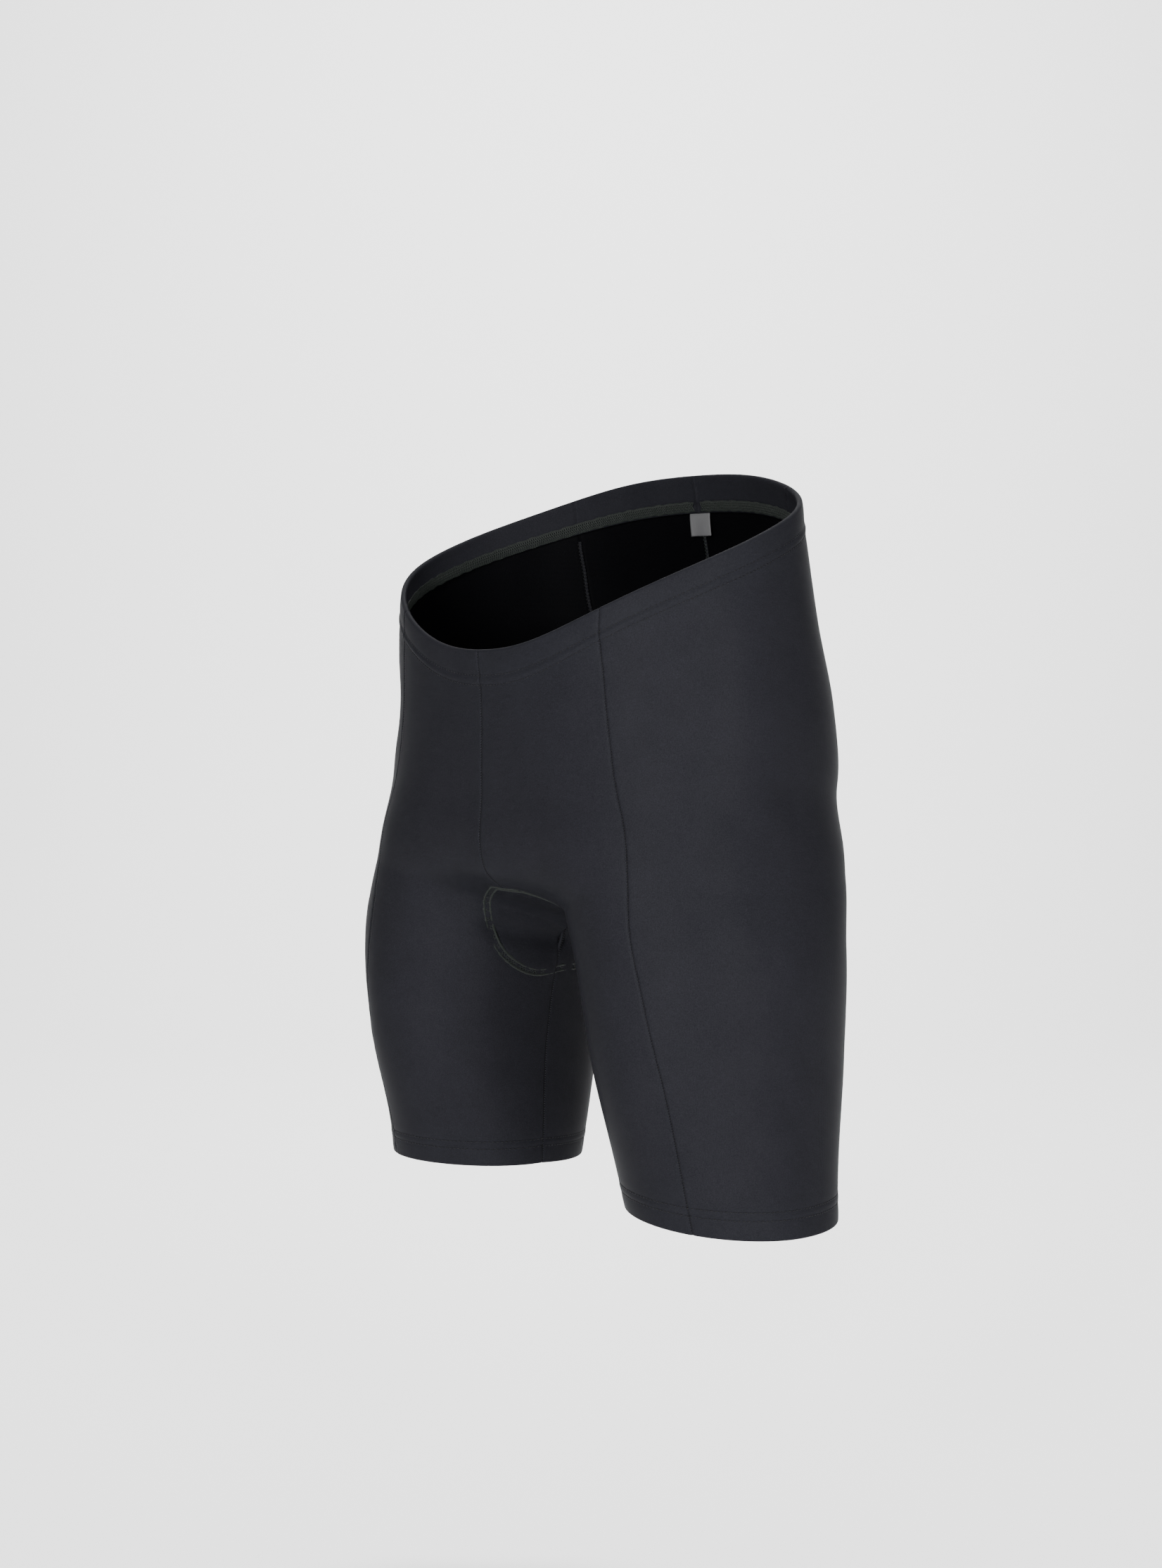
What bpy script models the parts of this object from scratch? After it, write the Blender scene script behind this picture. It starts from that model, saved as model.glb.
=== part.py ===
"""Stretch sports shorts with a padded seat, in the hollow shape they take when worn.

Metres, +Z up. The wearer faces -Y, so the wearer's left is +X. The origin is
at the height of the waist's edge over the hips, on the body's centre line.
Sizes below are millimetres, and MM turns them into metres at the end.

The cloth is one surface, the smooth union of a torso section and two leg
sections at each height. A half ring runs from centre front (share 0) round the
hip to centre back (share 1); below the crotch it is a whole ring round the leg
and its two ends meet in the inside leg seam. Each panel is a strip of that
ring, in one sheet with the casing turned in at its top and its hem turned up.
"""

import bmesh
import bpy
import numpy as np

MM = 0.001

CLOTH = 1.2            # thickness of the doubled knit
SEAM_GAP = 0.3         # between two panels at a seam
CASING = 26.0          # depth of the waist casing
CASING_STEP = 2.8      # from the wall to the layer turned in, mid to mid
HEM = 20.0             # depth of the leg hem
HEM_STEP = 1.5         # from the wall to the layer turned up, mid to mid

RIM_FRONT = -69.0      # height of the waist's edge at centre front
RIM_BACK = 55.0        # and at centre back; it is 0 over the hips
HEM_INSIDE = -438.0    # height of the leg's edge at the inside leg
HEM_OUTSIDE = -443.0   # and at the outside
HEM_DIP = 4.0          # how far its front hangs above and its back below
TORSO_SQUARENESS = 2.2
LEG_BLEND = 30.0       # width of the fillet between the two legs
BODY_BLEND = 30.0      # width of the fillet between legs and torso
TORSO_FLOOR = -215.0   # the torso section shrinks away below this height
CENTRE_BUNCHING = 1.9  # how much closer the rows lie near the crotch
LEG_BUNCHING = 1.0     # the same for the leg's rows
CENTRE_CROWDING = 1.3  # and how much closer the columns lie to the centre seams

# Half width, depth in front of and behind the centre line, by height.
TORSO = {
    "height": (-262, -215, -160, -110, -50, 0, 60),
    "half_width": (120, 161, 170, 172, 165, 160, 156),
    "front": (60, 101, 104, 104, 108, 105, 110),
    "back": (60, 120, 145, 136, 119, 108, 93),
}

# Centre of a leg, then its reach from there to each of four sides, by height.
LEG = {
    "height": (-500, -420, -340, -265, -200, -140, 60),
    "centre_x": (134, 125, 119, 111, 92, 64, 80),
    "centre_y": (4, -3, -3, -3, 6, -20, 0),
    "outward": (68, 67, 71, 83, 83, 74, 60),
    "inward": (67, 70, 69, 80, 90, 86, 60),
    "front": (56, 65, 90, 95, 103, 65, 60),
    "back": (65, 84, 96, 98, 102, 100, 60),
}

# Where the seams run: their bearing from the leg's axis, in degrees from
# straight out at the side, front negative, by height.
FRONT_SEAM = {
    "height": (-445, -344, -290, -235, -200, -170, -130, -90, -50, 60),
    "bearing": (-55, -61, -66, -69, -66, -60, -51, -50, -56, -61),
}
BACK_SEAM = {
    "height": (-445, -340, -250, -160, -50, 60),
    "bearing": (58, 60, 64, 66, 65, 64),
}

# Soft hollows in the cloth: the middle, the reach each way and the depth.
HOLLOWS = (
    dict(share=0.42, height=-108.0, share_reach=0.05, height_reach=26.0, depth=2.4),
)

# The seat pad, by distance along the centre line from the crotch, front first.
PAD = {
    "along": (-90, -78, -62, -45, -25, 0, 40, 90, 130, 168),
    "half_width": (12, 30, 52, 68, 74, 72, 70, 80, 84, 56),
}
PAD_EDGE = 1.6
PAD_MIDDLE = 7.5
PAD_GAP = 3.4

LABEL_WIDTH = 20.0
LABEL_TOP = 18.0       # below the waist's edge, inside the casing
LABEL_BOTTOM = 42.0
LABEL_THICKNESS = 1.0

TORSO_ROWS = 14
LEG_ROWS = 11
FOLD_STEPS = 4
COLUMNS = {"front": 9, "side": 11, "back": 11}


def read(table, column, height):
    """A column of a table at any height, joined by a smooth curve."""
    heights = np.asarray(table["height" if "height" in table else "along"], float)
    values = np.asarray(table[column], float)
    height = np.clip(height, heights[0], heights[-1])
    step = np.diff(heights)
    slope = np.diff(values) / step
    tangent = np.empty_like(values)
    tangent[1:-1] = (slope[:-1] * step[1:] + slope[1:] * step[:-1]) / (step[1:] + step[:-1])
    tangent[0], tangent[-1] = slope[0], slope[-1]
    i = np.clip(np.searchsorted(heights, height, side="right") - 1, 0, len(heights) - 2)
    t = (height - heights[i]) / step[i]
    return (
        (2 * t**3 - 3 * t**2 + 1) * values[i]
        + (t**3 - 2 * t**2 + t) * step[i] * tangent[i]
        + (3 * t**2 - 2 * t**3) * values[i + 1]
        + (t**3 - t**2) * step[i] * tangent[i + 1]
    )


def smooth_union(a, b, width):
    """The lower of two distances, with a fillet of this width where they meet."""
    near = np.maximum(width - np.abs(a - b), 0) / width
    return np.minimum(a, b) - near * near * width / 4


def beyond(dx, dy, reach_x, reach_y, squareness):
    """How far a point lies outside a rounded section, negative inside it."""
    share = (np.abs(dx / reach_x) ** squareness + np.abs(dy / reach_y) ** squareness) ** (1 / squareness)
    share = share + 1e-9
    return np.hypot(dx, dy) * (1 - 1 / share)


def outside(x, y, z):
    """How far a point lies outside the worn shape, in millimetres."""
    depth = np.where(y < 0, read(TORSO, "front", z), read(TORSO, "back", z))
    torso = beyond(x, y, read(TORSO, "half_width", z), depth, TORSO_SQUARENESS)
    torso = torso + 40 * np.clip((TORSO_FLOOR - z) / 30, 0, None) ** 2
    dy = y - read(LEG, "centre_y", z)
    depth = np.where(dy < 0, read(LEG, "front", z), read(LEG, "back", z))
    legs = []
    for side in (1, -1):
        dx = side * x - read(LEG, "centre_x", z)
        reach = np.where(dx > 0, read(LEG, "outward", z), read(LEG, "inward", z))
        legs.append(beyond(dx, dy, reach, depth, 2))
    return smooth_union(smooth_union(*legs, LEG_BLEND), torso, BODY_BLEND)


def normals_at(points):
    """Unit vectors square to the worn shape, pointing out of it."""
    x, y, z = points[..., 0], points[..., 1], points[..., 2]
    h = 0.8
    slope = np.stack([
        outside(x + h, y, z) - outside(x - h, y, z),
        outside(x, y + h, z) - outside(x, y - h, z),
        outside(x, y, z + h) - outside(x, y, z - h),
    ], -1) / (2 * h)
    size = np.linalg.norm(slope, axis=-1, keepdims=True)
    return slope / np.maximum(size, 1e-9), size[..., 0]


def find_crotch():
    """Height and y of the lowest point that the torso's centre line reaches."""
    y = np.linspace(-40, 40, 161)
    low, high = -300.0, -180.0
    for _ in range(40):
        middle = (low + high) / 2
        if outside(0 * y, y, middle + 0 * y).min() < 0:
            high = middle
        else:
            low = middle
    return high, float(y[np.argmin(outside(0 * y, y, high + 0 * y))])


CROTCH, CROTCH_Y = find_crotch()


def centre_line(z, side):
    """Where the half ring starts (side -1) or ends (side 1) on the centre line."""
    low = np.full_like(z, CROTCH_Y)
    high = np.full_like(z, CROTCH_Y + side * 260.0)
    for _ in range(30):
        middle = (low + high) / 2
        within = outside(0 * z, middle, z) < 0
        low = np.where(within, middle, low)
        high = np.where(within, high, middle)
    return (low + high) / 2


def ring_at(z, on_leg):
    """Axis of the half ring, and the bearings at which it starts and ends."""
    axis_x = 0.9 * read(LEG, "centre_x", z)
    axis_y = read(LEG, "centre_y", z)
    crotch_turn = np.arctan2(CROTCH_Y - read(LEG, "centre_y", CROTCH), -0.9 * read(LEG, "centre_x", CROTCH))
    crotch_turn = (crotch_turn % (2 * np.pi)) - np.pi
    fade = np.clip(1 - (CROTCH - z) / 60, 0, 1) ** 2 * crotch_turn
    start = np.arctan2(centre_line(np.maximum(z, CROTCH), -1) - axis_y, -axis_x)
    start = np.where(start > 0, start - 2 * np.pi, start)
    end = np.arctan2(centre_line(np.maximum(z, CROTCH), 1) - axis_y, -axis_x)
    end = np.where(end < 0, end + 2 * np.pi, end)
    return axis_x, axis_y, np.where(on_leg, -np.pi + fade, start), np.where(on_leg, np.pi + fade, end)


def wall_points(share, z, on_leg):
    """Points of the wearer's left half of the cloth, by share of the ring and height."""
    axis_x, axis_y, start, end = ring_at(z, on_leg)
    turn = start + share * (end - start)
    along_x, along_y = np.cos(turn), np.sin(turn)
    near = np.zeros_like(turn)
    far = np.where(along_x < -1e-6, np.minimum(320, axis_x / np.maximum(-along_x, 1e-6)), 320.0)
    for _ in range(26):
        middle = (near + far) / 2
        out = outside(axis_x + middle * along_x, axis_y + middle * along_y, z) > 0
        far = np.where(out, middle, far)
        near = np.where(out, near, middle)
    reach = (near + far) / 2
    return np.stack([axis_x + reach * along_x, axis_y + reach * along_y, z + 0 * reach], -1)


def rim_height(share):
    """Height of the waist's edge: low in front, high behind, 0 over the hips."""
    turn = -np.cos(np.pi * share)
    return (RIM_BACK - RIM_FRONT) / 2 * turn + (RIM_BACK + RIM_FRONT) / 2 * turn**2


def hem_height(share):
    """Height of the leg's edge."""
    return HEM_INSIDE + (HEM_OUTSIDE - HEM_INSIDE) * np.sin(np.pi * share) + HEM_DIP * np.sin(2 * np.pi * share)


def row_height(part, at, share):
    """Height of one row of the cloth at a share of the ring.

    part says which: casing rows by depth, torso and leg rows by their share of
    the way, and hem rows by their height over the edge.
    """
    outer = np.sin(np.pi * share)
    if part == "casing":
        return rim_height(share) - at
    if part == "torso":
        power = CENTRE_BUNCHING * (1 - outer) + 1.1 * outer
        return CROTCH + (rim_height(share) - CASING - CROTCH) * (1 - at) ** power
    if part == "leg":
        power = 1 + LEG_BUNCHING * (1 - outer)
        return CROTCH + (hem_height(share) + HEM - CROTCH) * at**power
    return hem_height(share) + at


def wall_rows():
    """The rows of the outer wall from the waist's edge to the leg's edge."""
    rows = [("casing", depth) for depth in (CASING_STEP / 2 + CLOTH / 2, CASING / 2, CASING)]
    rows += [("torso", k / TORSO_ROWS) for k in range(1, TORSO_ROWS + 1)]
    rows += [("leg", k / LEG_ROWS) for k in range(1, LEG_ROWS + 1)]
    return rows + [("hem", HEM / 2), ("hem", HEM_STEP / 2 + CLOTH / 2)]


def seam_shares(table, rows):
    """The share of the ring at which a seam crosses each of these rows."""
    share = np.full(len(rows), 0.3 if table is FRONT_SEAM else 0.7)
    below = np.array([part in ("leg", "hem") for part, _ in rows])
    for _ in range(12):
        z = np.array([row_height(part, at, s) for (part, at), s in zip(rows, share)])
        start, end = ring_at(z, below)[2:]
        share = share / 2 + (np.radians(read(table, "bearing", z)) - start) / (end - start) / 2
    return share


def hollowed(points, share, normals):
    """The points pressed in where the cloth has a soft hollow."""
    for hollow in HOLLOWS:
        across = (share - hollow["share"]) / hollow["share_reach"]
        down = (points[..., 2] - hollow["height"]) / hollow["height_reach"]
        points = points - normals * (hollow["depth"] * np.exp(-across**2 - down**2))[..., None]
    return points


def pulled_back(points, edge, inner, onto_leg):
    """A seam edge moved back from its neighbour: the centre seams part along X,
    the inside leg seam along Y, and the others along the ring."""
    if edge is not None:
        way = inner - points
        return points + SEAM_GAP / 2 * way / np.linalg.norm(way, axis=-1, keepdims=True)
    side = np.sign((inner - points)[:, 1:2])
    way = np.where(onto_leg[:, None], np.hstack([0 * side, side, 0 * side]), [[1.0, 0, 0]])
    return points + SEAM_GAP / 2 * way


def panel_wall(first, last, columns):
    """Mid points and outward normals of a panel's wall, a row for each of wall_rows."""
    rows = wall_rows()
    begin = np.zeros(len(rows)) if first is None else seam_shares(first, rows)
    end = np.ones(len(rows)) if last is None else seam_shares(last, rows)
    way = np.linspace(0, 1, columns)
    if first is None:
        way = way**CENTRE_CROWDING
    elif last is None:
        way = 1 - (1 - way) ** CENTRE_CROWDING
    shares = begin[:, None] + (end - begin)[:, None] * way
    heights, below, onto_leg = [], [], []
    for (part, at), share in zip(rows, shares):
        heights.append(row_height(part, at, share))
        below.append(np.full(columns, part in ("leg", "hem")))
        onto_leg.append(part in ("leg", "hem") or (part, at) == ("torso", 1.0))
    onto_leg = np.array(onto_leg)
    points = wall_points(shares, np.array(heights), np.array(below))
    normals = normals_at(points)[0]
    points = hollowed(points, shares, normals)
    points[:, 0] = pulled_back(points[:, 0], first, points[:, 1], onto_leg)
    points[:, -1] = pulled_back(points[:, -1], last, points[:, -2], onto_leg)
    return points, normals


def fold(points, normals, radius, upward):
    """The rows of a turned edge, from the wall round to the layer inside it."""
    along = np.gradient(points, axis=0)
    over = np.cross(along, normals)
    over /= np.linalg.norm(over, axis=-1, keepdims=True)
    over *= np.sign(over[:, 2:]) * (1 if upward else -1)
    rows = []
    for turn in np.linspace(0, np.pi, FOLD_STEPS + 1)[1:-1]:
        facing = np.cos(turn) * normals + np.sin(turn) * over
        rows.append((points - radius * normals + radius * facing, facing))
    return rows


def panel_sheet(first, last, columns):
    """Mid points and facings of a whole panel, from raw edge to raw edge."""
    points, normals = panel_wall(first, last, columns)
    turned_in = [(points[k] - CASING_STEP * normals[k], -normals[k]) for k in (2, 1, 0)]
    top = fold(points[0], normals[0], CASING_STEP / 2, True)[::-1]
    wall = list(zip(points, normals))
    bottom = fold(points[-1], normals[-1], HEM_STEP / 2, False)
    turned_up = [(points[k] - HEM_STEP * normals[k], -normals[k]) for k in (-1, -2, -3)]
    rows = turned_in + top + wall + bottom + turned_up
    return np.array([row[0] for row in rows]), np.array([row[1] for row in rows])


def closed_sheet(outer, inner):
    """Points and triangles of the solid between two grids of points."""
    rows, columns = outer.shape[:2]
    count = rows * columns
    index = np.arange(count).reshape(rows, columns)
    a, b, c, d = index[:-1, :-1], index[:-1, 1:], index[1:, 1:], index[1:, :-1]
    front = np.concatenate([np.stack([a, d, c], -1).reshape(-1, 3), np.stack([a, c, b], -1).reshape(-1, 3)])
    back = front[:, ::-1] + count
    edge = []
    for this, following in (
        (index[0, :-1], index[0, 1:]), (index[:-1, -1], index[1:, -1]),
        (index[-1, 1:], index[-1, :-1]),
    ):
        edge += [np.stack([this, following, following + count], -1), np.stack([this, following + count, this + count], -1)]
    this, following = index[1:, 0], index[:-1, 0]
    edge += [np.stack([this, following, this + count], -1), np.stack([following, following + count, this + count], -1)]
    return np.concatenate([outer.reshape(-1, 3), inner.reshape(-1, 3)]), np.concatenate([front, back, *edge])


def make_material(name, colour, roughness):
    """A matt or satin cloth material."""
    material = bpy.data.materials.new(name)
    material.use_nodes = True
    shader = material.node_tree.nodes["Principled BSDF"]
    shader.inputs["Base Color"].default_value = (*colour, 1)
    shader.inputs["Roughness"].default_value = roughness
    shader.inputs["Metallic"].default_value = 0
    material.diffuse_color = (*colour, 1)
    return material


def make_piece(name, points, faces, material, parent, mirrored=False):
    """One sewn piece as an object, for the wearer's right side if mirrored."""
    points = points * MM
    if mirrored:
        points = points * np.array([-1, 1, 1])
        faces = faces[:, ::-1]
    mesh = bpy.data.meshes.new(name)
    mesh.from_pydata(points.tolist(), [], faces.tolist())
    model = bmesh.new()
    model.from_mesh(mesh)
    if model.calc_volume(signed=True) < 0:
        bmesh.ops.reverse_faces(model, faces=model.faces)
    model.to_mesh(mesh)
    model.free()
    mesh.shade_smooth()
    mesh.set_sharp_from_angle(angle=0.9)
    piece = bpy.data.objects.new(name, mesh)
    piece.data.materials.append(material)
    piece.parent = parent
    bpy.context.scene.collection.objects.link(piece)
    return piece


def make_panels(material, parent):
    """The six panels: front, side and back for each leg."""
    for name, first, last in (
        ("front", None, FRONT_SEAM), ("side", FRONT_SEAM, BACK_SEAM), ("back", BACK_SEAM, None),
    ):
        points, facing = panel_sheet(first, last, COLUMNS[name])
        outer = points + CLOTH / 2 * facing
        inner = points - CLOTH / 2 * facing
        for side in (outer, inner):
            side[..., 0] = np.maximum(side[..., 0], SEAM_GAP / 2)
        for hand, mirrored in (("left", False), ("right", True)):
            make_piece(f"{name}_panel_{hand}", *closed_sheet(outer, inner), material, parent, mirrored)


def settle(points):
    """Points moved on to the worn shape."""
    for _ in range(4):
        normals, size = normals_at(points)
        gap = outside(points[..., 0], points[..., 1], points[..., 2]) / np.maximum(size, 0.2)
        points = points - gap[..., None] * normals
    return points


def centre_seam(along):
    """Points of the centre line at these distances from the crotch, front negative."""
    step, count = 2.0, 100
    side = np.array([[-1.0], [1.0]])
    point = settle(np.array([[0.0, CROTCH_Y, CROTCH]] * 2))
    trail = [point]
    for _ in range(count):
        normal = normals_at(point)[0]
        way = np.stack([0 * normal[:, 0], -normal[:, 2], normal[:, 1]], -1)
        point = settle(point + side * step * way) * np.array([0, 1, 1])
        trail.append(point)
    trail = np.array(trail)
    line = np.concatenate([trail[:0:-1, 0], trail[:, 1]])
    at = np.arange(-count, count + 1) * step
    return np.stack([np.interp(along, at, line[:, k]) for k in range(3)], -1)


def across_from(line, widths, columns):
    """Points reached from a centre line by going this far over the cloth to +X."""
    tangent = np.gradient(line, axis=0)
    tangent[:, 0] = 0
    tangent /= np.linalg.norm(tangent, axis=-1, keepdims=True)
    steps = 4 * (columns - 1)
    points = line.copy()
    rows = [points]
    for k in range(steps):
        normal = normals_at(points)[0]
        over = np.cross(normal, tangent)
        over *= np.sign(over[:, :1])
        over /= np.linalg.norm(over, axis=-1, keepdims=True)
        points = settle(points + over * (widths / steps)[:, None])
        if (k + 1) % 4 == 0:
            rows.append(points)
    return np.array(rows).transpose(1, 0, 2)


def make_pad(material, parent):
    """The seat pad, lying against the inside of the panels from front to back."""
    rows, columns = 29, 9
    turn = np.linspace(0, np.pi, rows)
    first, last = PAD["along"][0], PAD["along"][-1]
    along = (first + last) / 2 - (last - first) / 2 * np.cos(turn)
    line = centre_seam(along)
    half = across_from(line, read(PAD, "half_width", along), columns)
    grid = np.concatenate([half[:, :0:-1] * np.array([-1, 1, 1]), half], axis=1)
    normals = normals_at(grid)[0]
    across = np.linspace(-1, 1, grid.shape[1])[None]
    fullness = np.sqrt(np.clip(1 - across**2, 0, 1)) * np.sin(turn)[:, None] ** 0.7
    near = CLOTH / 2 + PAD_GAP
    thick = PAD_EDGE + (PAD_MIDDLE - PAD_EDGE) * fullness
    make_piece("seat_pad", *closed_sheet(grid - near * normals, grid - (near + thick)[..., None] * normals), material, parent)


def make_label(material, parent):
    """The size tab, tucked under the casing at centre back and hanging below it."""
    x = np.linspace(-LABEL_WIDTH / 2, LABEL_WIDTH / 2, 5)
    depth = np.linspace(LABEL_TOP, LABEL_BOTTOM, 5)
    shares = 1 - np.abs(x) / 420
    grid = []
    for d in depth:
        z = rim_height(shares) - d
        row = wall_points(shares, z, np.zeros(len(x), bool))
        row[:, 0] = x
        grid.append(settle(row))
    grid = np.array(grid)
    normals = normals_at(grid)[0]
    middle = CASING_STEP / 2
    outer = grid - (middle - LABEL_THICKNESS / 2) * normals
    inner = grid - (middle + LABEL_THICKNESS / 2) * normals
    make_piece("size_label", *closed_sheet(outer, inner), material, parent)


def main():
    """Builds every piece under one empty at the waist."""
    for thing in list(bpy.data.objects):
        bpy.data.objects.remove(thing, do_unlink=True)
    waist = bpy.data.objects.new("shorts", None)
    bpy.context.scene.collection.objects.link(waist)
    cloth = make_material("black_satin_knit", (0.012, 0.012, 0.014), 0.5)
    foam = make_material("charcoal_pad", (0.03, 0.03, 0.032), 0.85)
    tape = make_material("grey_woven_tab", (0.42, 0.43, 0.44), 0.7)
    make_panels(cloth, waist)
    make_pad(foam, waist)
    make_label(tape, waist)


if __name__ == "__main__":
    main()
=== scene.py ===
"""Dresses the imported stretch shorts: cloth, seams, threads, seat pad, size tab and studio.

Lengths are millimetres while shapes are worked out, and metres in the meshes.
The wearer faces -Y and the wearer's left is +X. The origin is at the height of
the waist's edge over the hips. A half ring of cloth runs from centre front
(share 0) round the hip to centre back (share 1), and below the crotch it is a
whole ring round the leg.
"""

from __future__ import annotations

import logging
from dataclasses import dataclass, field
from enum import Enum

import bpy
import numpy as np
from mathutils import Matrix
from numpy.typing import NDArray

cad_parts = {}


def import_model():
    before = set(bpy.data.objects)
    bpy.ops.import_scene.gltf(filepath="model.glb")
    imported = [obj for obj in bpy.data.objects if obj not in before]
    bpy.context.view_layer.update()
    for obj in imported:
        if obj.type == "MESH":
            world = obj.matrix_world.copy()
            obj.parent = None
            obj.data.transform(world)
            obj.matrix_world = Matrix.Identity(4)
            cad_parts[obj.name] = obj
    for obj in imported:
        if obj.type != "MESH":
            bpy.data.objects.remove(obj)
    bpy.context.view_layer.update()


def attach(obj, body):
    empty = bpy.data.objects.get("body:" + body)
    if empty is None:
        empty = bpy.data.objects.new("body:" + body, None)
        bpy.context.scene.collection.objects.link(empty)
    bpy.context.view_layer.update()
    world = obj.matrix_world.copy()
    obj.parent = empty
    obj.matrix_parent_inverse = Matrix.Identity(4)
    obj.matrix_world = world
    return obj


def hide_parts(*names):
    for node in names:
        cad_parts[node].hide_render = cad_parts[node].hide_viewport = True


LOG = logging.getLogger("shorts")
MM = 0.001
CLOTH = 1.2
MIRROR = np.array([-1.0, 1.0, 1.0])

Array = NDArray[np.float64]
Faces = NDArray[np.int64]
Mesh = tuple[Array, Faces]
Track = tuple[Array, Array]
Point = tuple[float, float, float]
Colour = tuple[float, float, float]


class Side(Enum):
    """The wearer's side that a piece is on."""

    LEFT = "left"
    RIGHT = "right"


class RowPart(Enum):
    """The stretch of the wall that a row of points belongs to."""

    CASING = "casing"
    TORSO = "torso"
    LEG = "leg"
    HEM = "hem"


class PanelKind(Enum):
    """The three panels cut for each side."""

    FRONT = "front"
    SIDE = "side"
    BACK = "back"


@dataclass(frozen=True)
class Sections:
    """Sizes at a few heights, joined by smooth curves."""

    heights: tuple[float, ...]
    columns: dict[str, tuple[float, ...]]

    def read(self, column: str, height: Array) -> Array:
        """A cubic Hermite curve through the column, its slopes the weighted mean of the two beside it.

        Args:
            column: which size to read.
            height: where to read it, held between the first and last height.

        Returns:
            The size at each height.
        """
        at = np.asarray(self.heights, float)
        values = np.asarray(self.columns[column], float)
        height = np.clip(height, at[0], at[-1])
        step = np.diff(at)
        slope = np.diff(values) / step
        inner = (slope[:-1] * step[1:] + slope[1:] * step[:-1]) / (step[1:] + step[:-1])
        tangent = np.concatenate([slope[:1], inner, slope[-1:]])
        i = np.clip(np.searchsorted(at, height, side="right") - 1, 0, len(at) - 2)
        t = (height - at[i]) / step[i]
        return (
            (2 * t**3 - 3 * t**2 + 1) * values[i]
            + (t**3 - 2 * t**2 + t) * step[i] * tangent[i]
            + (3 * t**2 - 2 * t**3) * values[i + 1]
            + (t**3 - t**2) * step[i] * tangent[i + 1]
        )


def unit(vectors: Array) -> Array:
    """The vectors at length 1."""
    return vectors / np.maximum(np.linalg.norm(vectors, axis=-1, keepdims=True), 1e-9)


def bell(distance: Array, reach: float) -> Array:
    """A smooth bump, 1 at distance 0 and near 0 past twice the reach: exp(-(d/r)^2)."""
    return np.exp(-((distance / reach) ** 2))


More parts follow.
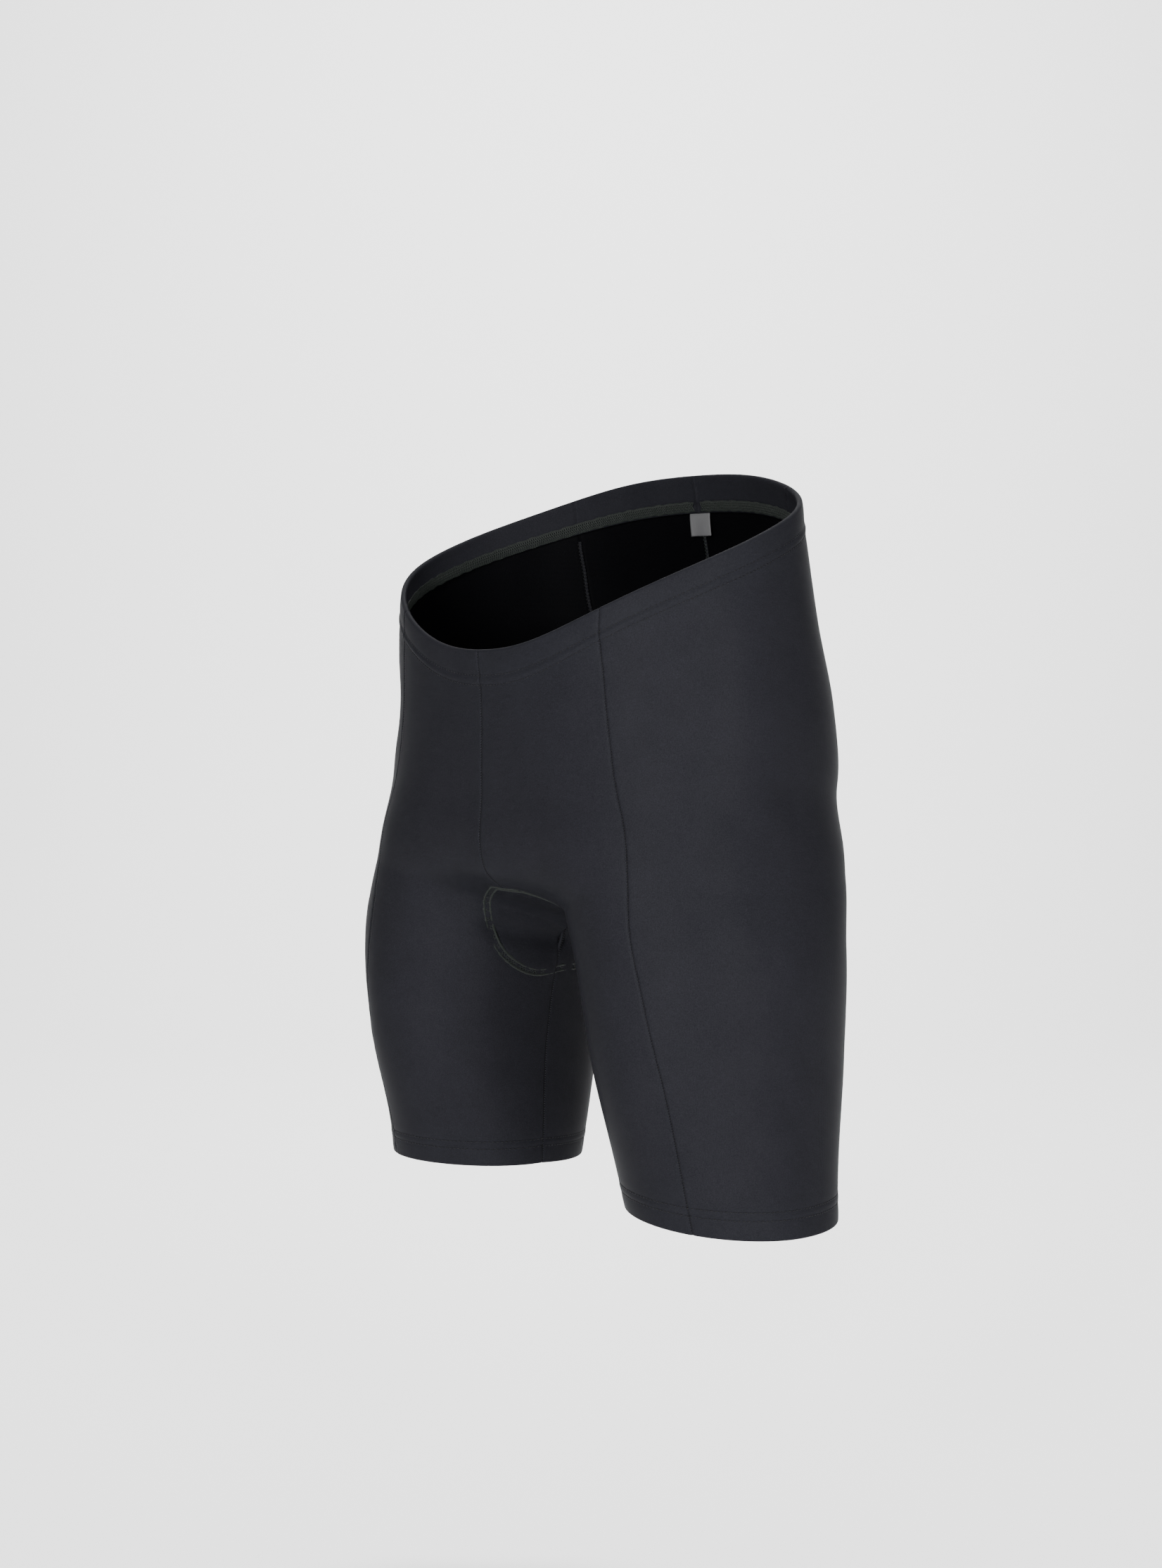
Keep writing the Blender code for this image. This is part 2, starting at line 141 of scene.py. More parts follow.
@dataclass
class WornShape:
    """The form of the cloth when worn: the smooth union of a torso and two legs."""

    torso: Sections = Sections(
        (-262, -215, -160, -110, -50, 0, 60),
        {
            "half_width": (120, 161, 170, 172, 165, 160, 156),
            "front": (60, 101, 104, 104, 108, 105, 110),
            "back": (60, 120, 145, 136, 119, 108, 93),
        },
    )
    leg: Sections = Sections(
        (-500, -420, -340, -265, -200, -140, 60),
        {
            "centre_x": (134, 125, 119, 111, 92, 64, 80),
            "centre_y": (4, -3, -3, -3, 6, -20, 0),
            "outward": (68, 67, 71, 83, 83, 74, 60),
            "inward": (67, 70, 69, 80, 90, 86, 60),
            "front": (56, 65, 90, 95, 103, 65, 60),
            "back": (65, 84, 96, 98, 102, 100, 60),
        },
    )
    squareness: float = 2.2
    fillet: float = 30.0
    torso_floor: float = -215.0
    floor_push: float = 40.0
    floor_depth: float = 30.0
    axis_share: float = 0.9
    seam_fade: float = 60.0
    furthest: float = 320.0
    crotch: float = field(init=False)
    crotch_y: float = field(init=False)

    def __post_init__(self) -> None:
        """Finds the lowest point that the centre line reaches, by halving a span of heights."""
        y = np.linspace(-40, 40, 161)
        low, high = -300.0, -180.0
        for _ in range(40):
            middle = (low + high) / 2
            within = self.outside(0 * y, y, middle + 0 * y).min() < 0
            low, high = (low, middle) if within else (middle, high)
        self.crotch = high
        self.crotch_y = float(y[np.argmin(self.outside(0 * y, y, high + 0 * y))])

    @staticmethod
    def beyond(dx: Array, dy: Array, reach_x: Array, reach_y: Array, power: float) -> Array:
        """How far a point lies outside a rounded section: its radius times 1 - 1/(share of the section)."""
        share = (np.abs(dx / reach_x) ** power + np.abs(dy / reach_y) ** power) ** (1 / power) + 1e-9
        return np.hypot(dx, dy) * (1 - 1 / share)

    def union(self, a: Array, b: Array) -> Array:
        """The lower of two distances, with a fillet where they are within its width of each other."""
        near = np.maximum(self.fillet - np.abs(a - b), 0) / self.fillet
        return np.minimum(a, b) - near**2 * self.fillet / 4

    def outside(self, x: Array, y: Array, z: Array) -> Array:
        """How far a point lies outside the worn shape, negative inside it.

        Args:
            x: places across.
            y: places front to back.
            z: heights.

        Returns:
            Distances in millimetres.
        """
        depth = np.where(y < 0, self.torso.read("front", z), self.torso.read("back", z))
        torso = self.beyond(x, y, self.torso.read("half_width", z), depth, self.squareness)
        below = np.clip((self.torso_floor - z) / self.floor_depth, 0, None)
        torso = torso + self.floor_push * below**2
        dy = y - self.leg.read("centre_y", z)
        depth = np.where(dy < 0, self.leg.read("front", z), self.leg.read("back", z))
        legs = []
        for side in (1, -1):
            dx = side * x - self.leg.read("centre_x", z)
            reach = np.where(dx > 0, self.leg.read("outward", z), self.leg.read("inward", z))
            legs.append(self.beyond(dx, dy, reach, depth, 2.0))
        return self.union(self.union(legs[0], legs[1]), torso)

    def slope(self, points: Array) -> Array:
        """The gradient of outside, by central differences.

        Args:
            points: points in millimetres.

        Returns:
            A vector for each point.
        """
        x, y, z = points[..., 0], points[..., 1], points[..., 2]
        h = 0.8
        return np.stack(
            [
                self.outside(x + h, y, z) - self.outside(x - h, y, z),
                self.outside(x, y + h, z) - self.outside(x, y - h, z),
                self.outside(x, y, z + h) - self.outside(x, y, z - h),
            ],
            -1,
        ) / (2 * h)

    def normals(self, points: Array) -> Array:
        """Unit vectors that point out of the shape."""
        return unit(self.slope(points))

    def settle(self, points: Array) -> Array:
        """Points moved on to the shape by a few Newton steps along its gradient.

        Args:
            points: points near the shape.

        Returns:
            Points on it.
        """
        for _ in range(4):
            slope = self.slope(points)
            size = np.maximum(np.linalg.norm(slope, axis=-1), 0.2)
            gap = self.outside(points[..., 0], points[..., 1], points[..., 2]) / size
            points = points - gap[..., None] * unit(slope)
        return points

    def centre_line(self, z: Array, side: int) -> Array:
        """Where the shape crosses the centre plane in front (side -1) or behind (side 1), by halving.

        Args:
            z: heights above the crotch.
            side: -1 for the front, 1 for the back.

        Returns:
            Places front to back.
        """
        low = np.full_like(z, self.crotch_y)
        high = low + side * 260.0
        for _ in range(30):
            middle = (low + high) / 2
            within = self.outside(0 * z, middle, z) < 0
            low, high = np.where(within, middle, low), np.where(within, high, middle)
        return (low + high) / 2

    def ring(self, z: Array, below: Array) -> tuple[Array, Array, Array, Array]:
        """Axis of the half ring at each height, and the bearings at which it starts and ends.

        Args:
            z: heights.
            below: whether the ring goes round one leg.

        Returns:
            The axis's x and y, and the first and last bearing in radians.
        """
        axis_x = self.axis_share * self.leg.read("centre_x", z)
        axis_y = self.leg.read("centre_y", z)
        crotch = np.array(self.crotch)
        crotch_x, crotch_y = (self.leg.read(name, crotch) for name in ("centre_x", "centre_y"))
        turn = np.arctan2(self.crotch_y - crotch_y, -self.axis_share * crotch_x)
        fade = np.clip(1 - (self.crotch - z) / self.seam_fade, 0, 1) ** 2 * (turn % (2 * np.pi) - np.pi)
        held = np.maximum(z, self.crotch)
        start = np.arctan2(self.centre_line(held, -1) - axis_y, -axis_x)
        start = np.where(start > 0, start - 2 * np.pi, start)
        end = np.arctan2(self.centre_line(held, 1) - axis_y, -axis_x)
        end = np.where(end < 0, end + 2 * np.pi, end)
        return axis_x, axis_y, np.where(below, -np.pi + fade, start), np.where(below, np.pi + fade, end)

    def wall(self, share: Array, z: Array, below: Array) -> Array:
        """Points of the left half, found by halving along rays from the ring's axis.

        Args:
            share: place round the ring.
            z: heights.
            below: whether the ring goes round one leg.

        Returns:
            Points in millimetres.
        """
        axis_x, axis_y, start, end = self.ring(z, below)
        turn = start + share * (end - start)
        way_x, way_y = np.cos(turn), np.sin(turn)
        near = np.zeros_like(turn)
        to_centre = np.minimum(self.furthest, axis_x / np.maximum(-way_x, 1e-6))
        far = np.where(way_x < -1e-6, to_centre, self.furthest)
        for _ in range(26):
            middle = (near + far) / 2
            out = self.outside(axis_x + middle * way_x, axis_y + middle * way_y, z) > 0
            near, far = np.where(out, near, middle), np.where(out, middle, far)
        reach = (near + far) / 2
        return np.stack([axis_x + reach * way_x, axis_y + reach * way_y, z + 0 * reach], -1)


@dataclass
class Cut:
    """Where the edges, seams, casing and hems of the shorts run."""

    shape: WornShape = field(default_factory=WornShape)
    rim_front: float = -69.0
    rim_back: float = 55.0
    hem_inside: float = -438.0
    hem_outside: float = -443.0
    hem_dip: float = 4.0
    casing: float = 26.0
    casing_step: float = 2.8
    hem: float = 20.0
    hem_step: float = 1.5
    centre_crowding: float = 1.9
    side_crowding: float = 1.1
    front_seam: Sections = Sections(
        (-445, -344, -290, -235, -200, -170, -130, -90, -50, 60),
        {"bearing": (-55, -61, -66, -69, -66, -60, -51, -50, -56, -61)},
    )
    back_seam: Sections = Sections(
        (-445, -340, -250, -160, -50, 60),
        {"bearing": (58, 60, 64, 66, 65, 64)},
    )

    def rim(self, share: Array) -> Array:
        """Height of the waist's edge: a cosine from front to back, and its square to hold the hips at 0."""
        turn = -np.cos(np.pi * share)
        return (self.rim_back - self.rim_front) / 2 * turn + (self.rim_back + self.rim_front) / 2 * turn**2

    def leg_edge(self, share: Array) -> Array:
        """Height of the leg's edge: a sine from inside to outside, and one wave round the leg."""
        rise = (self.hem_outside - self.hem_inside) * np.sin(np.pi * share)
        return self.hem_inside + rise + self.hem_dip * np.sin(2 * np.pi * share)

    def height(self, part: RowPart, at: Array, share: Array) -> Array:
        """Height of rows of the wall.

        Args:
            part: the stretch that the rows belong to.
            at: depth below the waist's edge, share of the way down, or height over the leg's edge.
            share: place round the ring.

        Returns:
            Heights in millimetres.
        """
        outer = np.sin(np.pi * share)
        crotch = self.shape.crotch
        if part is RowPart.CASING:
            return self.rim(share) - at
        if part is RowPart.TORSO:
            power = self.centre_crowding * (1 - outer) + self.side_crowding * outer
            return crotch + (self.rim(share) - self.casing - crotch) * (1 - at) ** power
        if part is RowPart.LEG:
            return crotch + (self.leg_edge(share) + self.hem - crotch) * at ** (2 - outer)
        return self.leg_edge(share) + at


@dataclass
class Rows:
    """The rows of a panel's wall, from the waist's edge to the leg's edge."""

    cut: Cut
    casing_rows: int = 18
    torso_rows: int = 64
    leg_rows: int = 48
    hem_rows: int = 14
    blocks: list[tuple[RowPart, Array]] = field(init=False)

    def __post_init__(self) -> None:
        """Spaces the rows of each stretch evenly in its own measure."""
        fold = self.cut.casing_step / 2 + CLOTH / 2
        turn = self.cut.hem_step / 2 + CLOTH / 2
        self.blocks = [
            (RowPart.CASING, np.linspace(fold, self.cut.casing, self.casing_rows)),
            (RowPart.TORSO, np.linspace(0, 1, self.torso_rows + 1)[1:]),
            (RowPart.LEG, np.linspace(0, 1, self.leg_rows + 1)[1:]),
            (RowPart.HEM, np.linspace(self.cut.hem, turn, self.hem_rows + 1)[1:]),
        ]

    @property
    def count(self) -> int:
        """How many rows there are."""
        return sum(len(at) for _, at in self.blocks)

    def heights(self, share: Array) -> Array:
        """Heights of all the rows, for shares given row by row.

        Args:
            share: place round the ring, row by row.

        Returns:
            Heights in millimetres.
        """
        out, first = [], 0
        for part, at in self.blocks:
            out.append(self.cut.height(part, at[:, None], share[first : first + len(at)]))
            first += len(at)
        return np.concatenate(out)

    def below(self) -> Array:
        """Which rows go round one leg, as a column."""
        marks = [np.full(len(at), part in (RowPart.LEG, RowPart.HEM)) for part, at in self.blocks]
        return np.concatenate(marks)[:, None]

    @property
    def crotch_row(self) -> int:
        """The row at the crotch's height."""
        return self.casing_rows + self.torso_rows - 1

    def seam(self, bearings: Sections) -> Array:
        """The share at which a seam crosses each row, by repeated averaging towards its bearing.

        Args:
            bearings: the seam's table.

        Returns:
            A column of shares.
        """
        share = np.full((self.count, 1), 0.5)
        below = self.below()
        for _ in range(14):
            z = self.heights(share)
            start, end = self.cut.shape.ring(z, below)[2:]
            share = share / 2 + (np.radians(bearings.read("bearing", z)) - start) / (end - start) / 2
        return share


def from_line(here: Array, start: tuple[float, ...], end: tuple[float, ...]) -> tuple[Array, Array]:
    """Each place's share of the way along a line between two points, and its distance from the line.

    Args:
        here: the places.
        start: the line's first point.
        end: the line's last point.

    Returns:
        Shares of the way, and distances.
    """
    a, b = np.array(start), np.array(end)
    t = np.clip((here - a) @ (b - a) / ((b - a) @ (b - a)), 0, 1)
    return t, np.linalg.norm(here - a - t[..., None] * (b - a), axis=-1)


@dataclass(frozen=True)
class Crease:
    """A soft trough (or ridge, if its depth is negative) between two places on the cloth.

    Each place is a share of the ring, taken as 470 mm long, and a height.
    """

    start: tuple[float, float]
    end: tuple[float, float]
    reach: float
    depth: float
    ring: float = 470.0

    def press(self, share: Array, z: Array) -> Array:
        """How far the crease presses the cloth in: a bell over the distance to the line between its ends.

        Args:
            share: place round the ring.
            z: heights.

        Returns:
            Millimetres inward.
        """
        (first, low), (last, high) = self.start, self.end
        here = np.stack([share * self.ring, z], -1)
        distance = from_line(here, (first * self.ring, low), (last * self.ring, high))[1]
        return self.depth * bell(distance, self.reach)


@dataclass(frozen=True)
class Hollow:
    """A trough (or lip, if its depth is negative) between two points inside each thigh."""

    start: Point
    end: Point
    reach: float
    depth: float

    def press(self, points: Array) -> Array:
        """How far it presses the cloth in: a bell over the distance, fading by a sine to its ends.

        Args:
            points: points on the cloth or the pad.

        Returns:
            Millimetres inward.
        """
        t, distance = from_line(np.abs(points) * [1, 0, 0] + points * [0, 1, 1], self.start, self.end)
        fade = 0.35 + 0.65 * np.sin(np.pi * (0.12 + 0.8 * t))
        return self.depth * fade * bell(distance, self.reach)


@dataclass(frozen=True)
class Swell:
    """A low ridge along a line (or a groove, if its height is negative), this far from the line."""

    at: float
    height: float
    reach: float


Profile = tuple[Swell, ...]


def swells(profile: Profile, distance: Array) -> Array:
    """The sum of a profile's bells at these distances from its line."""
    return sum(swell.height * bell(distance - swell.at, swell.reach) for swell in profile)


def needle_lines(lines: tuple[float, float], valley: float, ridge: float, reach: float) -> Profile:
    """A valley along each of two needle lines, and a ridge between them."""
    valleys = [Swell(line, -valley, 0.9) for line in lines]
    return (*valleys, Swell(sum(lines) / 2, ridge, reach))


@dataclass
class Wall:
    """A panel's wall: points, normals and where each point lies in the cut."""

    points: Array
    normals: Array
    share: Array
    z: Array
    from_first: Array
    from_last: Array


@dataclass
class PadOutline:
    """The seat pad's outline on the cloth, by distance along the centre line from the crotch."""

    shape: WornShape
    table: Sections = Sections(
        (-90, -78, -62, -45, -25, 0, 40, 90, 130, 168),
        {"half_width": (12, 30, 52, 68, 74, 72, 70, 80, 84, 56)},
    )

    def centre(self, along: Array) -> Array:
        """Points of the centre line, found by stepping over the shape from the crotch both ways.

        Args:
            along: distances behind the crotch, below 0 before it.

        Returns:
            Points in millimetres.
        """
        step, count = 2.0, 100
        side = np.array([[-1.0], [1.0]])
        point = self.shape.settle(np.array([[0.0, self.shape.crotch_y, self.shape.crotch]] * 2))
        trail = [point]
        for _ in range(count):
            normal = self.shape.normals(point)
            way = np.stack([0 * normal[:, 0], -normal[:, 2], normal[:, 1]], -1)
            point = self.shape.settle(point + side * step * way) * np.array([0, 1, 1])
            trail.append(point)
        trail = np.array(trail)
        line = np.concatenate([trail[:0:-1, 0], trail[:, 1]])
        at = np.arange(-count, count + 1) * step
        return np.stack([np.interp(along, at, line[:, k]) for k in range(3)], -1)

    def across(self, line: Array, widths: Array, columns: int, fine: int = 4) -> Array:
        """Points reached from the centre line by going this far over the cloth to the left side.

        Args:
            line: points of the centre line.
            widths: how far to go from each.
            columns: how many points to keep on the way, with both ends.
            fine: steps from one kept point to the next.

        Returns:
            Points by line point, then column.
        """
        tangent = unit(np.gradient(line, axis=0) * np.array([0, 1, 1]))
        points, kept = line.copy(), [line.copy()]
        steps = fine * (columns - 1)
        for k in range(steps):
            over = np.cross(self.shape.normals(points), tangent)
            over = unit(over * np.sign(over[:, :1] + 1e-12))
            points = self.shape.settle(points + over * (widths / steps)[:, None])
            if (k + 1) % fine == 0:
                kept.append(points)
        return np.array(kept).transpose(1, 0, 2)

    def grid(self, rows: int, columns: int, inset: float = 0.0) -> Array:
        """Points over the whole pad, from its right edge to its left: cosine spacing along, even across.

        Args:
            rows: how many along.
            columns: how many from the centre line to one side.
            inset: how far inside the pad's edge.

        Returns:
            Points by row, then column.
        """
        turn = np.linspace(0, np.pi, rows)
        first, last = self.table.heights[0] + inset, self.table.heights[-1] - inset
        along = (first + last) / 2 - (last - first) / 2 * np.cos(turn)
        width = np.maximum(self.table.read("half_width", along) - inset, 2)
        half = self.across(self.centre(along), width, columns)
        return np.concatenate([half[:, :0:-1] * MIRROR, half], axis=1)

    def loop(self, inset: float) -> Array:
        """The closed line of stitches, this far inside the pad's edge."""
        grid = self.grid(61, 9, inset)
        return np.concatenate([grid[:, -1], grid[-1, -2:0:-1], grid[::-1, 0], grid[0, 1:-1]])


@dataclass
class Relief:
    """How far the cloth stands out of the worn shape at seams, stitch lines, pad and creases."""

    cut: Cut
    pad_loop: Array
    casing_lines: tuple[float, float] = (17.0, 23.5)
    hem_lines: tuple[float, float] = (13.0, 18.5)
    seam_profile: Profile = (Swell(0.0, -0.5, 0.85), Swell(3.0, 0.08, 1.4))
    casing_profile: Profile = (
        *needle_lines(casing_lines, 0.42, 0.5, 2.2),
        Swell(8.0, 0.35, 7.0),
        Swell(Cut.casing + 1.2, -0.35, 1.4),
    )
    hem_profile: Profile = (*needle_lines(hem_lines, 0.34, 0.25, 1.8), Swell(6.0, 0.2, 5.0))
    pad_profile: Profile = (Swell(0.0, -0.9, 2.0), Swell(6.5, 0.5, 3.0))
    pad_heights: tuple[float, float] = (-330.0, -160.0)
    pad_reach: float = 100.0
    pucker: float = 0.12
    pucker_pitch: float = 1.7
    pucker_drift: float = 9.0
    pucker_reach: float = 5.0
    creases: tuple[Crease, ...] = (
        Crease((0.42, -104.0), (0.42, -114.0), 20.0, 2.4),
        Crease((0.44, -60.0), (0.455, -190.0), 26.0, 1.2),
        Crease((0.40, -150.0), (0.385, -300.0), 24.0, -1.0),
        Crease((0.47, -120.0), (0.50, -260.0), 28.0, -1.0),
    )
    hollows: tuple[Hollow, ...] = (
        Hollow((46.0, -60.0, -262.0), (33.0, 0.0, -276.0), 6.5, 6.0),
        Hollow((47.0, -42.0, -286.0), (42.0, -8.0, -293.0), 5.5, -1.2),
        Hollow((28.0, -58.0, -250.0), (22.0, -14.0, -261.0), 6.0, -1.4),
    )

    def out(self, wall: Wall) -> Array:
        """The sum of soft bells for each feature, in millimetres outward.

        Args:
            wall: the panel's wall.

        Returns:
            The height of the relief at each point.
        """
        depth = self.cut.rim(wall.share) - wall.z
        over_hem = wall.z - self.cut.leg_edge(wall.share)
        from_seam = np.minimum(wall.from_first, wall.from_last)
        wave = np.sin(depth / self.pucker_pitch + 3 * np.sin(depth / self.pucker_drift))
        lift = self.pucker * wave * bell(from_seam, self.pucker_reach)
        lift = lift + swells(self.seam_profile, wall.from_first) + swells(self.seam_profile, wall.from_last)
        lift = lift + swells(self.casing_profile, depth) + swells(self.hem_profile, over_hem)
        for crease in self.creases:
            lift = lift - crease.press(wall.share, wall.z)
        return lift + self.pad(wall) - self.hollow(wall.points)

    def hollow(self, points: Array) -> Array:
        """How far cloth and pad sink in beside the crotch, inside each thigh, in millimetres."""
        return sum(hollow.press(points) for hollow in self.hollows)

    def pad(self, wall: Wall) -> Array:
        """A groove along the pad's stitches, by the distance to the nearest point of their line.

        Args:
            wall: the panel's wall.

        Returns:
            Millimetres outward.
        """
        out = np.zeros(wall.z.shape)
        low, high = self.pad_heights
        near = (wall.z < high) & (wall.z > low) & (np.abs(wall.points[..., 0]) < self.pad_reach)
        here = wall.points[near]
        distance = np.full(len(here), 1e9)
        for start in range(0, len(self.pad_loop), 40):
            gap = here[:, None] - self.pad_loop[None, start : start + 40]
            distance = np.minimum(distance, np.sqrt((gap**2).sum(-1)).min(1))
        out[near] = swells(self.pad_profile, distance)
        return out


class MeshKit:
    """Turns grids of points into meshes, and meshes into objects."""

    @staticmethod
    def closed(outer: Array, inner: Array) -> Mesh:
        """Points and quads of the solid between two grids, closed round their border.

        Args:
            outer: points of the outer face.
            inner: points of the inner face.

        Returns:
            Points and quads.
        """
        rows, columns = outer.shape[:2]
        count = rows * columns
        index = np.arange(count).reshape(rows, columns)
        corners = [index[:-1, :-1], index[1:, :-1], index[1:, 1:], index[:-1, 1:]]
        front = np.stack(corners, -1).reshape(-1, 4)
        border = np.concatenate([index[0, :-1], index[:-1, -1], index[-1, :0:-1], index[:0:-1, 0]])
        following = np.roll(border, -1)
        edge = np.stack([border, following, following + count, border + count], -1)
        points = np.concatenate([outer.reshape(-1, 3), inner.reshape(-1, 3)])
        return points, np.concatenate([front, front[:, ::-1] + count, edge])

    @staticmethod
    def tubes(paths: Array, facing: Array, radius: Array, sides: int = 6) -> Mesh:
        """Threads swept along paths.

        A ring of points goes round each path point in the plane of the facing
        and the cross product of the path with it, and a fan closes each end.

        Args:
            paths: points by thread, then along it.
            facing: the direction away from the cloth at each.
            radius: the thread's radius along a path.
            sides: points round a ring, an even number.

        Returns:
            Points and quads.
        """
        threads, count = paths.shape[:2]
        along = unit(np.gradient(paths, axis=1))
        over = unit(np.cross(along, facing))
        up = np.cross(over, along)
        turn = np.linspace(0, 2 * np.pi, sides, endpoint=False)
        ring = over[:, :, None] * np.cos(turn)[:, None] + up[:, :, None] * np.sin(turn)[:, None]
        points = paths[:, :, None] + ring * radius[None, :, None, None]
        index = np.arange(threads * count * sides).reshape(threads, count, sides)
        turned = np.roll(index, -1, axis=2)
        quads = np.stack([index[:, :-1], index[:, 1:], turned[:, 1:], turned[:, :-1]], -1).reshape(-1, 4)
        a = np.arange(1, sides - 1, 2)
        cap = np.stack([0 * a, a, a + 1, a + 2], -1)
        start = index[:, 0][:, cap].reshape(-1, 4)
        end = index[:, -1][:, cap[:, ::-1]].reshape(-1, 4)
        return points.reshape(-1, 3), np.concatenate([quads, start, end])

    @staticmethod
    def piece(
        name: str, points: Array, faces: Faces, side: Side, material: bpy.types.Material
    ) -> bpy.types.Object:
        """An object in the scene, smooth, mirrored on to the right side if asked.

        Args:
            name: the object's name.
            points: points in millimetres.
            faces: quads.
            side: the side that the piece is on.
            material: its finish.

        Returns:
            The object, at the origin.
        """
        if side is Side.RIGHT:
            points, faces = points * MIRROR, faces[:, ::-1]
        mesh = bpy.data.meshes.new(name)
        mesh.vertices.add(len(points))
        mesh.vertices.foreach_set("co", (points * MM).astype(np.float32).ravel())
        mesh.loops.add(faces.size)
        mesh.loops.foreach_set("vertex_index", faces.astype(np.int32).ravel())
        mesh.polygons.add(len(faces))
        mesh.polygons.foreach_set("loop_start", np.arange(0, faces.size, 4, dtype=np.int32))
        mesh.update(calc_edges=True)
        mesh.validate()
        if MeshKit.signed_volume(points, faces) < 0:
            mesh.flip_normals()
        mesh.shade_smooth()
        mesh.materials.append(material)
        piece = bpy.data.objects.new(name, mesh)
        bpy.context.scene.collection.objects.link(piece)
        return piece

    @staticmethod
    def signed_volume(points: Array, faces: Faces) -> float:
        """The volume that the quads enclose, negative where they point inwards."""
        a, b, c, d = (points[faces[:, k]] for k in range(4))
        return float((a * (np.cross(b, c) + np.cross(c, d))).sum() / 6)

    @staticmethod
    def area(grid: Array) -> float:
        """The area of a grid of points, from the cross products of its cells' diagonals.

        Args:
            grid: points by row, then column.

        Returns:
            Square millimetres.
        """
        across = grid[1:, 1:] - grid[:-1, :-1]
        other = grid[1:, :-1] - grid[:-1, 1:]
        return float(np.linalg.norm(np.cross(across, other), axis=-1).sum() / 2)


Socket = bpy.types.NodeSocket


class Nodes:
    """Helps to wire a material's nodes."""

    def __init__(self, name: str) -> None:
        """Starts a material with a Principled BSDF."""
        self.material = bpy.data.materials.new(name)
        self.material.use_nodes = True
        self.tree = self.material.node_tree
        self.shader = self.tree.nodes["Principled BSDF"]
        self.place = self.tree.nodes.new("ShaderNodeTexCoord").outputs["Object"]

    def add(self, kind: str, inputs: dict[str | int, object], **settings: object) -> bpy.types.Node:
        """A node of this kind.

        Args:
            kind: the node's type.
            inputs: a socket to link, or a value to set, by the input's name or number.
            settings: the node's own properties.

        Returns:
            The node.
        """
        node = self.tree.nodes.new(kind)
        for key, value in settings.items():
            setattr(node, key, value)
        for key, value in inputs.items():
            if isinstance(value, Socket):
                self.tree.links.new(value, node.inputs[key])
            else:
                node.inputs[key].default_value = value
        return node

    def noise(self, scale: float, detail: float) -> Socket:
        """Noise over the object's coordinates."""
        inputs = {"Vector": self.place, "Scale": scale, "Detail": detail}
        return self.add("ShaderNodeTexNoise", inputs).outputs["Fac"]

    def bands(self, scale: float, direction: str, distortion: float = 0.0, along: float = 1.0) -> Socket:
        """Waves over the object's coordinates, drawn out along Z by a scale below 1.

        Args:
            scale: how fine.
            direction: the axis that the waves follow.
            distortion: how uneven.
            along: the scale along Z.

        Returns:
            The height of the waves.
        """
        place = self.place
        if along != 1.0:
            inputs = {"Vector": place, "Scale": (1.0, 1.0, along)}
            place = self.add("ShaderNodeMapping", inputs).outputs["Vector"]
        inputs = {"Vector": place, "Scale": scale, "Distortion": distortion}
        return self.add("ShaderNodeTexWave", inputs, bands_direction=direction).outputs["Fac"]

    def math(self, operation: str, *values: Socket | float) -> Socket:
        """One step of arithmetic on sockets or numbers."""
        return self.add("ShaderNodeMath", dict(enumerate(values)), operation=operation).outputs[0]

    def blend(self, share: Socket, first: Socket | Colour, second: Colour, how: str = "MIX") -> Socket:
        """Two colours blended by a share.

        Args:
            share: of the second colour.
            first: a colour or a socket.
            second: the other colour.
            how: the node's blend type.

        Returns:
            The blended colour.
        """
        inputs = {"Fac": share, "Color1": first, "Color2": second}
        inputs = {k: (*v, 1) if isinstance(v, tuple) else v for k, v in inputs.items()}
        return self.add("ShaderNodeMixRGB", inputs, blend_type=how).outputs["Color"]

    def dress(self, colour: Socket, height: Socket, strength: float, distance: float) -> None:
        """Gives the shader its colour, and its bump from a height.

        Args:
            colour: the base colour.
            height: what the bump reads.
            strength: of the bump.
            distance: of the bump, in metres.
        """
        inputs = {"Height": height, "Strength": strength, "Distance": distance}
        bump = self.add("ShaderNodeBump", inputs).outputs["Normal"]
        self.tree.links.new(colour, self.shader.inputs["Base Color"])
        self.tree.links.new(bump, self.shader.inputs["Normal"])

    def gloss(self, roughness: Socket | float, specular: float) -> None:
        """Gives the shader its roughness and its specular level.

        Args:
            roughness: a number or a socket.
            specular: the specular level.
        """
        if isinstance(roughness, Socket):
            self.tree.links.new(roughness, self.shader.inputs["Roughness"])
        else:
            self.shader.inputs["Roughness"].default_value = roughness
        self.shader.inputs["Specular IOR Level"].default_value = specular


def shades(colour: Colour, low: float, high: float) -> tuple[Colour, Colour]:
    """A darker and a lighter shade of a colour, by two factors."""
    return tuple(low * c for c in colour), tuple(high * c for c in colour)


